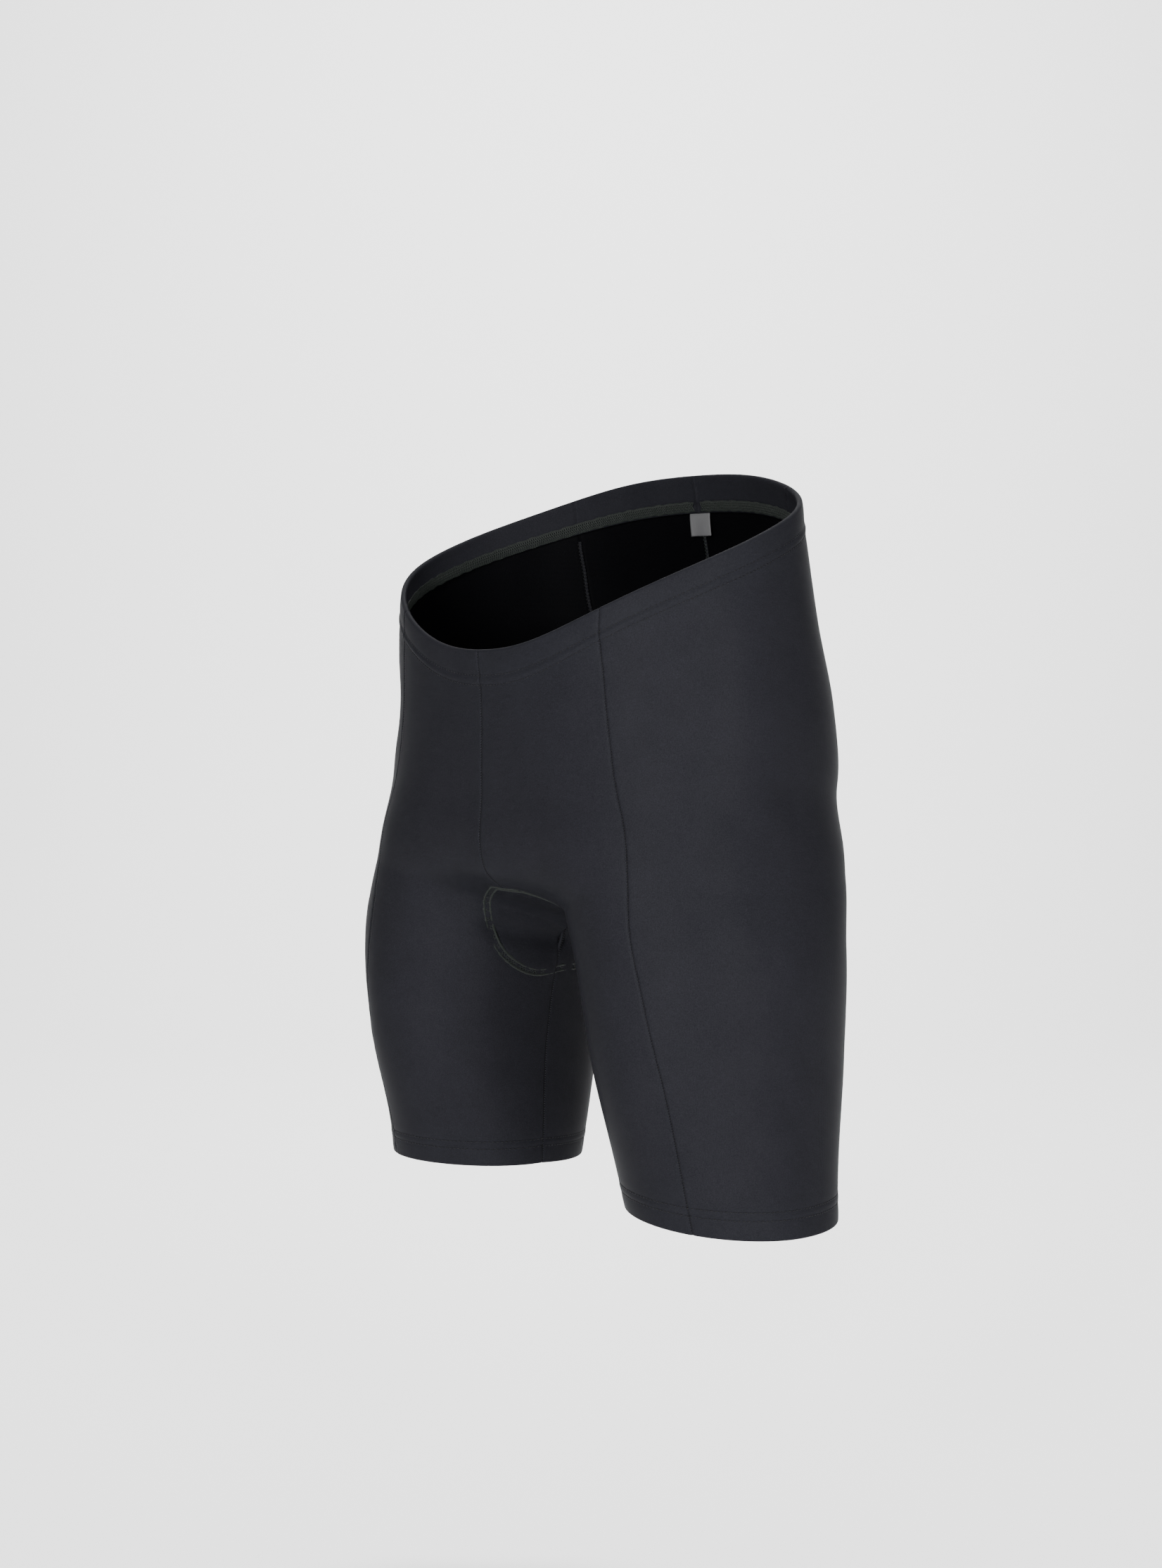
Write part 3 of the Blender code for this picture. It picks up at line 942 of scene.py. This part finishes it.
@dataclass(frozen=True)
class KnitFinish:
    """Black stretch knit: fine ribs, slight clouding, a satin right side, and painted shade on the inner
    face that stands in for the shadow inside the shorts.
    """

    name: str = "black_satin_knit"
    dark: Colour = (0.0056, 0.0057, 0.0070)
    light: Colour = (0.0112, 0.0113, 0.0138)
    inner_face_painted_shade: Colour = (0.16, 0.16, 0.16)
    roughness: float = 0.41
    uneven_roughness: float = 0.14
    specular: float = 0.008
    clouds: float = 0.35
    specks: float = 1.6
    grain: float = 0.18

    def make(self) -> bpy.types.Material:
        """Wires the finish: the tone is clouds plus specks, darkened by painted shade on the inner face, and
        the bump is ribs plus courses.

        Returns:
            The material.
        """
        n = Nodes(self.name)
        clouds = n.math("MULTIPLY", n.noise(38.0, 3.0), self.clouds)
        specks = n.noise(1500.0, 2.0)
        shade = n.math("SUBTRACT", n.math("MULTIPLY_ADD", specks, self.specks, clouds), 0.5)
        tone = n.blend(shade, self.dark, self.light)
        # Painted shade: the inner face's colour is multiplied by dark grey, standing in for the shadow
        # inside the shorts.
        side = n.add("ShaderNodeAttribute", {}, attribute_name="inner_face_painted_shade").outputs["Fac"]
        colour = n.blend(side, tone, self.inner_face_painted_shade, "MULTIPLY")
        ribs = n.bands(420.0, "X", 1.2, 0.25)
        weave = n.math("MULTIPLY_ADD", ribs, 0.5, n.bands(520.0, "Z", 0.8))
        n.dress(colour, weave, self.grain, 0.0002)
        n.gloss(n.math("MULTIPLY_ADD", specks, self.uneven_roughness, self.roughness), self.specular)
        return n.material


@dataclass(frozen=True)
class ThreadFinish:
    """Twisted thread: fine diagonal ply and a little shine."""

    name: str
    colour: Colour
    roughness: float = 0.5
    specular: float = 0.12

    def make(self) -> bpy.types.Material:
        """Wires the finish.

        Returns:
            The material.
        """
        n = Nodes(self.name)
        ply = n.bands(900.0, "DIAGONAL", 2.0)
        n.dress(n.blend(ply, *shades(self.colour, 0.6, 1.3)), ply, 0.4, 0.0001)
        n.gloss(self.roughness, self.specular)
        return n.material


@dataclass(frozen=True)
class PadFinish:
    """Matt charcoal microfibre with a short nap."""

    name: str = "charcoal_microfibre"
    colour: Colour = (0.010, 0.010, 0.011)
    roughness: float = 0.9
    specular: float = 0.1

    def make(self) -> bpy.types.Material:
        """Wires the finish.

        Returns:
            The material.
        """
        n = Nodes(self.name)
        nap = n.noise(900.0, 4.0)
        n.dress(n.blend(nap, *shades(self.colour, 0.7, 1.4)), nap, 0.5, 0.0003)
        n.gloss(self.roughness, self.specular)
        return n.material


@dataclass(frozen=True)
class TabFinish:
    """Grey woven tape: warp and weft as crossed waves."""

    name: str = "grey_woven_tape"
    dark: Colour = (0.048, 0.048, 0.050)
    light: Colour = (0.078, 0.078, 0.080)
    roughness: float = 0.65
    specular: float = 0.5

    def make(self) -> bpy.types.Material:
        """Wires the finish.

        Returns:
            The material.
        """
        n = Nodes(self.name)
        both = n.math("MULTIPLY", n.bands(700.0, "X"), n.bands(700.0, "Z"))
        n.dress(n.blend(both, self.dark, self.light), both, 0.4, 0.0002)
        n.gloss(self.roughness, self.specular)
        return n.material


@dataclass(frozen=True)
class Lamp:
    """A rectangular area light, its place and aim as metres ahead, sideways and up."""

    name: str
    at: Point
    size: tuple[float, float]
    power: float
    aim: Point = (0.0, 0.0, -0.2)


@dataclass(frozen=True)
class Stitch:
    """A kind of stitch, in millimetres: how often, how wide or long, how thick, and how far it arches."""

    pitch: float
    width: float
    radius: float
    rise: float


def along_path(path: Array, at: Array) -> Array:
    """Values of a sampled path at these distances along it, by linear interpolation."""
    length = np.concatenate([[0], np.cumsum(np.linalg.norm(np.diff(path[:, :3], axis=0), axis=-1))])
    return np.stack([np.interp(at, length, path[:, k]) for k in range(path.shape[1])], -1)


def path_length(path: Array) -> float:
    """The length of a sampled path."""
    return float(np.linalg.norm(np.diff(path[:, :3], axis=0), axis=-1).sum())


def along_track(track: Track, at: Array) -> tuple[Array, Array, Array, Array]:
    """Points, normals, forward and sideways directions of a track at these distances along it.

    Args:
        track: the path and the directions out of the cloth along it.
        at: distances along the path.

    Returns:
        Four arrays of vectors.
    """
    path, facing = track
    here = along_path(np.concatenate([path, facing, unit(np.gradient(path, axis=0))], axis=1), at)
    normals, along = unit(here[:, 3:6]), unit(here[:, 6:])
    return here[:, :3], normals, along, np.cross(along, normals)


def raised(track: Track, by: float) -> Track:
    """The track moved out of the cloth, along its normals."""
    return track[0] + by * track[1], track[1]


def turned_in(track: Track, by: float) -> Track:
    """The track moved into the cloth, and facing inwards."""
    return track[0] - by * track[1], -track[1]


@dataclass
class Panel:
    """One cloth panel: its wall, the casing turned in at its top and the hem turned up at its bottom."""

    kind: PanelKind
    cut: Cut
    rows: Rows
    relief: Relief
    columns: int = 34
    fold_steps: int = 10
    seam_gap: float = 0.12
    near_seam: tuple[float, ...] = (0, 0.6, 1.2, 1.9, 2.8, 4.0, 5.6, 7.6, 10.0)
    usual_width: float = 160.0

    def ways(self) -> Array:
        """Shares of the way across, with close columns beside both seams for their valleys.

        Returns:
            Shares from 0 to 1.
        """
        edge = np.array(self.near_seam) / self.usual_width
        middle = np.linspace(edge[-1], 1 - edge[-1], self.columns)[1:-1]
        return np.concatenate([edge, middle, 1 - edge[::-1]])

    def wall(self) -> Wall:
        """The panel's wall, each row of it an arc of the half ring between two seams.

        Returns:
            The wall, without its relief.
        """
        rows, cut = self.rows, self.cut
        first = np.zeros((rows.count, 1))
        last = np.ones((rows.count, 1))
        if self.kind is not PanelKind.FRONT:
            first = rows.seam(cut.front_seam if self.kind is PanelKind.SIDE else cut.back_seam)
        if self.kind is not PanelKind.BACK:
            last = rows.seam(cut.front_seam if self.kind is PanelKind.FRONT else cut.back_seam)
        share = first + (last - first) * self.ways()
        z = rows.heights(share)
        points = cut.shape.wall(share, z, rows.below() & np.ones_like(share, bool))
        step = np.linalg.norm(np.diff(points, axis=1), axis=-1)
        run = np.concatenate([np.zeros((rows.count, 1)), np.cumsum(step, axis=1)], axis=1)
        return Wall(points, cut.shape.normals(points), share, z, run, run[:, -1:] - run)

    def parted(self, points: Array) -> Array:
        """The wall with its seam edges moved back a little from their neighbours.

        Args:
            points: the wall's points.

        Returns:
            The points, with both edge columns moved.
        """
        points = points.copy()
        on_leg = np.arange(len(points)) >= self.rows.crotch_row
        for edge, inner, at_centre in (
            (0, 1, self.kind is PanelKind.FRONT),
            (-1, -2, self.kind is PanelKind.BACK),
        ):
            way = unit(points[:, inner] - points[:, edge])
            if at_centre:
                toward = np.sign(way[:, 1:2])
                way = np.where(on_leg[:, None], toward * [[0.0, 1.0, 0.0]], [[1.0, 0.0, 0.0]])
            points[:, edge] += self.seam_gap / 2 * way
        return points

    def turned_edge(self, points: Array, normals: Array, radius: float, upward: bool) -> list[Track]:
        """Rows round a folded edge: half a circle in the plane square to the edge.

        Args:
            points: the wall's last row before the fold.
            normals: its outward normals.
            radius: of the fold's middle surface.
            upward: whether the fold lies above the row.

        Returns:
            Rows of points and of facings, from the wall inwards.
        """
        over = unit(np.cross(np.gradient(points, axis=0), normals))
        over = over * np.sign(over[:, 2:]) * (1 if upward else -1)
        rows = []
        for turn in np.linspace(0, np.pi, self.fold_steps + 1)[1:-1]:
            facing = np.cos(turn) * normals + np.sin(turn) * over
            rows.append((points - radius * normals + radius * facing, facing))
        return rows

    def sheet(self) -> Track:
        """Middle points and facings of the whole sheet, from raw edge to raw edge.

        Returns:
            Points and facings, by row and column.
        """
        wall = self.wall()
        lift = self.relief.out(wall)[..., None]
        normals = wall.normals
        middle = self.parted(wall.points) + lift * normals
        casing = range(self.rows.casing_rows - 1, -1, -1)
        hem = range(-1, -self.rows.hem_rows - 1, -1)
        step_in, step_up = self.cut.casing_step, self.cut.hem_step
        inside = [(middle[k] - step_in * normals[k], -normals[k]) for k in casing]
        top = self.turned_edge(middle[0], normals[0], step_in / 2, True)[::-1]
        bottom = self.turned_edge(middle[-1], normals[-1], step_up / 2, False)
        up = [(middle[k] - step_up * normals[k], -normals[k]) for k in hem]
        rows = inside + top + list(zip(middle, normals)) + bottom + up
        return np.array([row[0] for row in rows]), np.array([row[1] for row in rows])

    def build(self, material: bpy.types.Material) -> None:
        """Makes the panel for both sides.

        Args:
            material: its finish.
        """
        middle, facing = self.sheet()
        outer, inner = middle + CLOTH / 2 * facing, middle - CLOTH / 2 * facing
        for face in (outer, inner):
            face[..., 0] = np.maximum(face[..., 0], self.seam_gap / 2)
        points, faces = MeshKit.closed(outer, inner)
        area = MeshKit.area(middle)
        for side in Side:
            node = f"{self.kind.value}_panel_{side.value}"
            piece = MeshKit.piece(f"{node}_cloth", points, faces, side, material)
            # Marks the inner face's points, where the finish paints shade standing in for the shadow inside
            # the shorts.
            painted_shade_mask = piece.data.attributes.new("inner_face_painted_shade", "FLOAT", "POINT")
            painted_shade_mask.data.foreach_set("value", np.repeat([0.0, 1.0], len(points) // 2).astype(np.float32))
            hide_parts(node)
            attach(piece, "root")


@dataclass
class SeatPad:
    """The stitched-in pad, full in the middle and thin at its edge."""

    outline: PadOutline
    relief: Relief
    gap: float = 1.6
    edge: float = 1.6
    middle: float = 7.5
    thinnest: float = 1.2
    channels: Profile = (Swell(0.0, 1.6, 0.09), Swell(0.62, 1.0, 0.05))

    def build(self, material: bpy.types.Material) -> None:
        """Makes the pad from the outline's grid, moved in from the cloth by its gap and its thickness.

        Args:
            material: its finish.
        """
        grid = self.outline.grid(81, 25)
        normals = self.outline.shape.normals(grid)
        across = np.linspace(-1, 1, grid.shape[1])[None]
        along = np.sin(np.linspace(0, np.pi, grid.shape[0]))[:, None]
        fullness = np.clip(1 - across**2, 0, 1) ** 0.5 * along**0.7
        channel = swells(self.channels, np.abs(across)) * along**2
        thick = self.edge + (self.middle - self.edge) * fullness - channel
        near = (CLOTH / 2 + self.gap + self.relief.hollow(grid))[..., None]
        far = near + np.maximum(thick, self.thinnest)[..., None]
        points, faces = MeshKit.closed(grid - near * normals, grid - far * normals)
        piece = MeshKit.piece("seat_pad_microfibre", points, faces, Side.LEFT, material)
        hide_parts("seat_pad")
        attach(piece, "root")
        LOG.info("%s: %.1f to %.1f mm thick", piece.name, self.edge, self.middle)


@dataclass
class SizeTab:
    """The bare tab under the casing at centre back, tucked in at its top."""

    cut: Cut
    width: float = 20.0
    top: float = 18.0
    bottom: float = 42.0
    thickness: float = 0.7
    half_ring: float = 420.0
    stands_off: float = 2.9
    ripple: float = 0.35

    def build(self, material: bpy.types.Material) -> None:
        """Makes the tab over the back wall, curled away from it a little at its free edge.

        Args:
            material: its finish.
        """
        x = np.linspace(-self.width / 2, self.width / 2, 21)
        depth = np.linspace(self.top, self.bottom, 26)[:, None]
        share = 1 - np.abs(x)[None] / self.half_ring + 0 * depth
        z = self.cut.rim(share) - depth
        grid = self.cut.shape.wall(share, z, np.zeros(z.shape, bool))
        grid[..., 0] = x[None]
        grid = self.cut.shape.settle(grid)
        normals = self.cut.shape.normals(grid)
        free = np.clip((depth - self.cut.casing) / (self.bottom - self.cut.casing), 0, 1)
        wave = self.ripple * np.sin(x / 3.1)[None] * free
        inward = (self.cut.casing_step / 2 + self.stands_off * free**0.5 + wave)[..., None]
        middle = grid - inward * normals
        half = self.thickness / 2
        points, faces = MeshKit.closed(middle + half * normals, middle - half * normals)
        piece = MeshKit.piece("size_label_tape", points, faces, Side.LEFT, material)
        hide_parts("size_label")
        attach(piece, "root")
        LOG.info("%s: %.0f by %.0f mm", piece.name, self.width, self.bottom - self.top)


@dataclass
class Sewing:
    """All the threads: two-needle lines, seam stitches, overlocked edges and the pad's double row."""

    cut: Cut
    relief: Relief
    panels: dict[PanelKind, Panel]
    face: float = CLOTH / 2
    needle: Stitch = Stitch(3.1, 2.3, 0.3, 0.35)
    casing_loop: Stitch = Stitch(3.3, 8.0, 0.46, 0.8)
    hem_loop: Stitch = Stitch(3.1, 6.0, 0.3, 0.5)
    seam_stitch: Stitch = Stitch(1.7, 1.5, 0.2, 0.42)
    overlock: Stitch = Stitch(2.6, 3.0, 0.26, 1.5)
    pad_chain: Stitch = Stitch(2.3, 1.5, 0.34, 0.75)
    pad_loop: Stitch = Stitch(2.3, 4.2, 0.24, 0.35)
    pad_gauge: float = 2.1
    pad_sink: float = 0.7
    raw_edge: float = 4.5
    allowance: float = 1.15
    count: int = 0

    def piece(self, name: str, mesh: Mesh, material: bpy.types.Material, both: bool = True) -> None:
        """Adds a piece of sewing, on both sides unless it crosses the centre.

        Args:
            name: the piece's name, without its side.
            mesh: points and quads.
            material: its finish.
            both: whether it is made on both sides.
        """
        for side in Side if both else (Side.LEFT,):
            label = f"{name}_{side.value}" if both else name
            made = MeshKit.piece(label, mesh[0], mesh[1], side, material)
            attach(made, "root")
            self.count += 1
            LOG.info("%s: %d faces", label, len(mesh[1]))

    def half_ring(self, depth: float, part: RowPart, samples: int = 420) -> Track:
        """The left half of the cloth, this far below the waist's edge or over the leg's edge.

        Args:
            depth: how far from that edge.
            part: the casing or the hem.
            samples: how many points.

        Returns:
            Points and normals.
        """
        share = np.linspace(0.0005, 0.9995, samples)[None]
        z = self.cut.height(part, np.array([[depth]]), share)
        points = self.cut.shape.wall(share, z, np.full(share.shape, part is RowPart.HEM))
        normals = self.cut.shape.normals(points)
        no_seam_near = np.full(share.shape, 99.0)
        lift = self.relief.out(Wall(points, normals, share, z, no_seam_near, no_seam_near))
        return (points + lift[..., None] * normals)[0], normals[0]

    @staticmethod
    def runs(track: Track, stitch: Stitch) -> Mesh:
        """Straight stitches end to end, each a sine-shaped arc that is thinner and sunk at its ends.

        Args:
            track: the path and the directions out of the cloth along it.
            stitch: its measures.

        Returns:
            Points and quads.
        """
        share = np.linspace(0, 1, 5)
        arc = np.sin(np.pi * share)
        start = np.arange(0.5, path_length(track[0]) - stitch.width, stitch.pitch)
        points, normals, *_ = along_track(track, (start[:, None] + share * stitch.width).ravel())
        points, normals = points.reshape(-1, 5, 3), normals.reshape(-1, 5, 3)
        rise = stitch.radius * 0.8 + stitch.rise * (arc - 1)
        return MeshKit.tubes(points + rise[:, None] * normals, normals, stitch.radius * (0.55 + 0.45 * arc))

    @staticmethod
    def ladder(track: Track, stitch: Stitch, lean: float = 0.5) -> Mesh:
        """Short stitches across a track, each half a cosine high and leaning along it.

        Args:
            track: the path and the directions out of the cloth along it.
            stitch: its measures.
            lean: how far one end lies ahead of the other.

        Returns:
            Points and quads.
        """
        start = np.arange(0.5, path_length(track[0]) - 0.5, stitch.pitch)
        points, normals, along, over = (part[:, None] for part in along_track(track, start))
        share = np.linspace(-0.5, 0.5, 5)[:, None]
        points = points + over * stitch.width * share + along * lean * share
        points = points + normals * stitch.rise * np.cos(np.pi * share)
        return MeshKit.tubes(points, np.broadcast_to(normals, points.shape), np.full(5, stitch.radius))

    @staticmethod
    def loops(track: Track, stitch: Stitch, phase: float = 0.0) -> Mesh:
        """A looper thread that swings from side to side of a track, as one long tube.

        Across the track it follows a sine with a little of its third harmonic,
        and along it backs up twice a stitch, which makes the loops.

        Args:
            track: its middle line.
            stitch: its measures.
            phase: where in a loop it starts.

        Returns:
            Points and quads.
        """
        length = path_length(track[0])
        turns = np.arange(0, length / stitch.pitch - 1, 1 / 12)
        angle = 2 * np.pi * turns + phase
        at = turns * stitch.pitch + 0.32 * stitch.pitch * np.sin(2 * angle)
        points, normals, _, over = along_track(track, np.clip(at, 0, length))
        side = np.sin(angle) + 0.12 * np.sin(3 * angle)
        uneven = 1 + 0.12 * np.sin(turns * 0.37) * np.sin(turns * 1.91)
        points = points + over * (stitch.width / 2 * side * uneven)[:, None]
        points = points + normals * (stitch.rise * (1 - 0.6 * side**2))[:, None]
        return MeshKit.tubes(points[None], normals[None], np.full(len(points), stitch.radius))

    def seam_paths(self) -> dict[str, Track]:
        """Each seam's points and normals, from the top down.

        Returns:
            A track by the name of each seam.
        """
        crotch = self.panels[PanelKind.FRONT].rows.crotch_row
        front, side, back = (self.panels[kind].wall() for kind in PanelKind)
        return {
            "front_side_seam": (side.points[:, 0], side.normals[:, 0]),
            "back_side_seam": (back.points[:, 0], back.normals[:, 0]),
            "inside_leg_seam": (front.points[crotch:, 0], front.normals[crotch:, 0]),
            "centre_front_seam": (front.points[: crotch + 1, 0], front.normals[: crotch + 1, 0]),
            "centre_back_seam": (back.points[: crotch + 1, -1], back.normals[: crotch + 1, -1]),
        }

    def build(self, black: bpy.types.Material, grey: bpy.types.Material, cloth: bpy.types.Material) -> None:
        """Sews everything.

        Args:
            black: the outer thread.
            grey: the looper thread inside and round the pad.
            cloth: the panels' finish, for the seam allowances.
        """
        cut, relief = self.cut, self.relief
        for name, lines, part in (
            ("casing_stitches", relief.casing_lines, RowPart.CASING),
            ("hem_stitches", relief.hem_lines, RowPart.HEM),
        ):
            for k, line in enumerate(lines):
                mesh = self.runs(raised(self.half_ring(line, part), self.face), self.needle)
                self.piece(f"{name}_{k + 1}", mesh, black)
        ring = self.half_ring(cut.casing - self.raw_edge, RowPart.CASING)
        ring = turned_in(ring, cut.casing_step + self.face)
        for k, phase in enumerate((0.0, np.pi)):
            self.piece(f"casing_loops_{k + 1}", self.loops(ring, self.casing_loop, phase), grey)
        ring = self.half_ring(sum(relief.hem_lines) / 2, RowPart.HEM)
        ring = turned_in(ring, cut.hem_step + self.face)
        self.piece("hem_loops", self.loops(ring, self.hem_loop), grey)
        self.seams(black, grey, cloth)
        self.pad_row(grey)

    def seams(self, black: bpy.types.Material, grey: bpy.types.Material, cloth: bpy.types.Material) -> None:
        """Stitches in each seam's valley outside, and its overlocked allowance inside.

        Args:
            black: the outer thread.
            grey: the looper thread.
            cloth: the panels' finish.
        """
        rows = self.panels[PanelKind.FRONT].rows
        valley = self.face + self.relief.seam_profile[0].height
        for name, track in self.seam_paths().items():
            both = not name.startswith("centre")
            self.piece(f"{name}_stitches", self.ladder(raised(track, valley), self.seam_stitch), black, both)
            start = 0 if name == "inside_leg_seam" else rows.casing_rows
            stop = len(track[0]) - (rows.hem_rows if both else 0)
            points, normals = track[0][start:stop], track[1][start:stop]
            run = np.arange(len(points)) * 3.4
            over = np.cross(unit(np.gradient(points, axis=0)), normals)
            sway = (0.9 * np.sin(run / 9.0) + 0.5 * np.sin(run / 4.1 + 1.3))[:, None]
            centre = points - (self.face + 0.95) * normals + sway * over
            ridge = MeshKit.tubes(centre[None], normals[None], np.full(len(centre), self.allowance), 10)
            self.piece(f"{name}_allowance", ridge, cloth, both)
            thread = grey if name == "centre_back_seam" else black
            self.piece(f"{name}_overlock", self.loops((centre, -normals), self.overlock), thread, both)

    def pad_row(self, grey: bpy.types.Material) -> None:
        """The double row round the pad: two chains of stitches with a looper thread between them.

        Args:
            grey: the looper thread.
        """
        loop = np.concatenate([self.relief.pad_loop, self.relief.pad_loop[:2]])
        smooth = self.cut.shape.settle(along_path(loop, np.linspace(0, path_length(loop), 700)))
        normals = self.cut.shape.normals(smooth)
        over = np.cross(unit(np.gradient(smooth, axis=0)), normals)
        base = smooth + (self.face - self.pad_sink - self.relief.hollow(smooth))[:, None] * normals
        for k, offset in enumerate((-self.pad_gauge, self.pad_gauge)):
            for m, phase in enumerate((0.0, np.pi)):
                mesh = self.loops((base + offset * over, normals), self.pad_chain, phase)
                self.piece(f"pad_chain_{k + 1}_{m + 1}", mesh, grey, False)
        self.piece("pad_loops", self.loops((base, normals), self.pad_loop), grey, False)


def stand(name: str, data: bpy.types.ID, turn: Array, place: Array) -> bpy.types.Object:
    """An object in the scene that holds this data, turned by three columns and placed.

    Args:
        name: the object's name.
        data: its mesh, lamp or camera.
        turn: its three axes, as columns.
        place: where it stands.

    Returns:
        The object.
    """
    thing = bpy.data.objects.new(name, data)
    bpy.context.scene.collection.objects.link(thing)
    pose = np.eye(4)
    pose[:3, :3], pose[:3, 3] = turn, place
    thing.matrix_world = Matrix(pose.tolist())
    return thing


@dataclass
class Studio:
    """A pale sweep, soft lights and the camera. Lengths are metres."""

    pivot: Point = (0.0, 0.0, -0.235)
    azimuth: float = 47.56
    elevation: float = 6.3
    distance: float = 1.5573
    focal_px: float = 3181.8
    frame: tuple[int, int] = (1652, 2230)
    aim_px: tuple[float, float] = (850.1, 1263.4)
    film: float = 36.0
    paper: float = 0.92
    surround: float = 0.3
    floor: float = -0.75
    extent: float = 6.0
    bend_from: float = 2.2
    bend: float = 1.2
    lamps: tuple[Lamp, ...] = (
        Lamp("key_softbox", (2.1, 1.2, 0.15), (0.6, 1.2), 90.0),
        Lamp("left_softbox", (2.2, -0.95, 0.25), (0.5, 1.2), 112.0),
        Lamp("top_softbox", (0.1, 0.0, 2.0), (1.2, 0.8), 3.0),
        Lamp("backdrop_light", (-0.9, 0.0, 2.1), (1.5, 0.5), 210.0, (-2.8, 0.0, -0.3)),
    )

    def plan(self) -> Array:
        """Level directions toward the camera and to its right, and up, as rows."""
        turn = np.radians(self.azimuth)
        return np.array([[np.sin(turn), -np.cos(turn), 0], [np.cos(turn), np.sin(turn), 0], [0, 0, 1]])

    def camera(self) -> None:
        """A level camera panned so that the pivot lands where the photograph has it."""
        rise = np.radians(self.elevation)
        back = np.array([np.cos(rise), 0, np.sin(rise)]) @ self.plan()
        right = unit(np.cross(-back, [0, 0, 1.0]))
        up = np.cross(right, -back)
        dx, dy = ((aim - size / 2) / self.focal_px for aim, size in zip(self.aim_px, self.frame))
        axis = unit(-back - right * dx + up * dy)
        right = unit(np.cross(axis, [0, 0, 1.0]))
        turn = np.stack([right, np.cross(right, axis), -axis], -1)
        data = bpy.data.cameras.new("camera")
        data.lens = self.focal_px / self.frame[1] * self.film
        data.sensor_width = self.film
        data.clip_end = 50
        eye = np.array(self.pivot) + back * self.distance
        bpy.context.scene.camera = stand("camera", data, turn, eye)

    def light(self, lamp: Lamp) -> None:
        """Makes a lamp and turns it to its aim.

        Args:
            lamp: its measures, place and aim.
        """
        data = bpy.data.lights.new(lamp.name, "AREA")
        data.shape = "RECTANGLE"
        data.size, data.size_y = lamp.size
        data.energy = lamp.power
        place = np.array(lamp.at) @ self.plan()
        back = unit(place - np.array(lamp.aim) @ self.plan())
        right = unit(np.cross([0, 0, 1.0], back))
        stand(lamp.name, data, np.stack([right, np.cross(back, right), back], -1), place)

    def sweep(self) -> None:
        """A pale floor that curves up into a wall behind: a line, a quarter circle and a line."""
        toward, right, _ = self.plan()
        arc = np.linspace(0, np.pi / 2, 25)
        reach = self.bend_from + self.bend * np.concatenate([np.sin(arc), [1.0]])
        reach = np.concatenate([[-self.extent], reach])
        rise = np.concatenate([[0.0], self.bend - self.bend * np.cos(arc), [self.extent]])
        side = np.array([-self.extent, self.extent])
        grid = side[None, :, None] * right - reach[:, None, None] * toward
        grid[..., 2] = rise[:, None] + self.floor
        index = np.arange(grid.shape[0] * 2).reshape(-1, 2)
        faces = np.stack([index[:-1, 0], index[:-1, 1], index[1:, 1], index[1:, 0]], -1)
        mesh = bpy.data.meshes.new("pale_sweep")
        mesh.from_pydata(grid.reshape(-1, 3).tolist(), [], faces.tolist())
        mesh.shade_smooth()
        nodes = Nodes("pale_paper")
        nodes.shader.inputs["Base Color"].default_value = (*(self.paper,) * 3, 1)
        nodes.gloss(1.0, 0.0)
        mesh.materials.append(nodes.material)
        sweep = stand("pale_sweep", mesh, np.eye(3), np.zeros(3))

    def build(self) -> None:
        """Sets the sweep, the lights, the even surround and the camera."""
        self.sweep()
        for lamp in self.lamps:
            self.light(lamp)
        world = bpy.data.worlds.new("even_surround")
        bpy.context.scene.world = world
        world.use_nodes = True
        background = world.node_tree.nodes["Background"]
        background.inputs["Color"].default_value = (1, 1, 1, 1)
        background.inputs["Strength"].default_value = self.surround
        self.camera()


def main() -> None:
    """Loads the frame, then makes each piece in order."""
    logging.basicConfig(level=logging.INFO, format="%(name)s: %(message)s")
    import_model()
    cut = Cut()
    outline = PadOutline(cut.shape)
    relief = Relief(cut, outline.loop(4.0))
    rows = Rows(cut)
    panels = {kind: Panel(kind, cut, rows, relief) for kind in PanelKind}
    knit = KnitFinish().make()
    for panel in panels.values():
        panel.build(knit)
    SeatPad(outline, relief).build(PadFinish().make())
    black = ThreadFinish("black_thread", (0.0042, 0.0042, 0.0048)).make()
    grey = ThreadFinish("grey_green_thread", (0.0088, 0.0108, 0.0095)).make()
    SizeTab(cut).build(TabFinish().make())
    sewing = Sewing(cut, relief, panels)
    sewing.build(black, grey, knit)
    LOG.info("sewing: %d pieces", sewing.count)
    Studio().build()


if __name__ == "__main__":
    main()
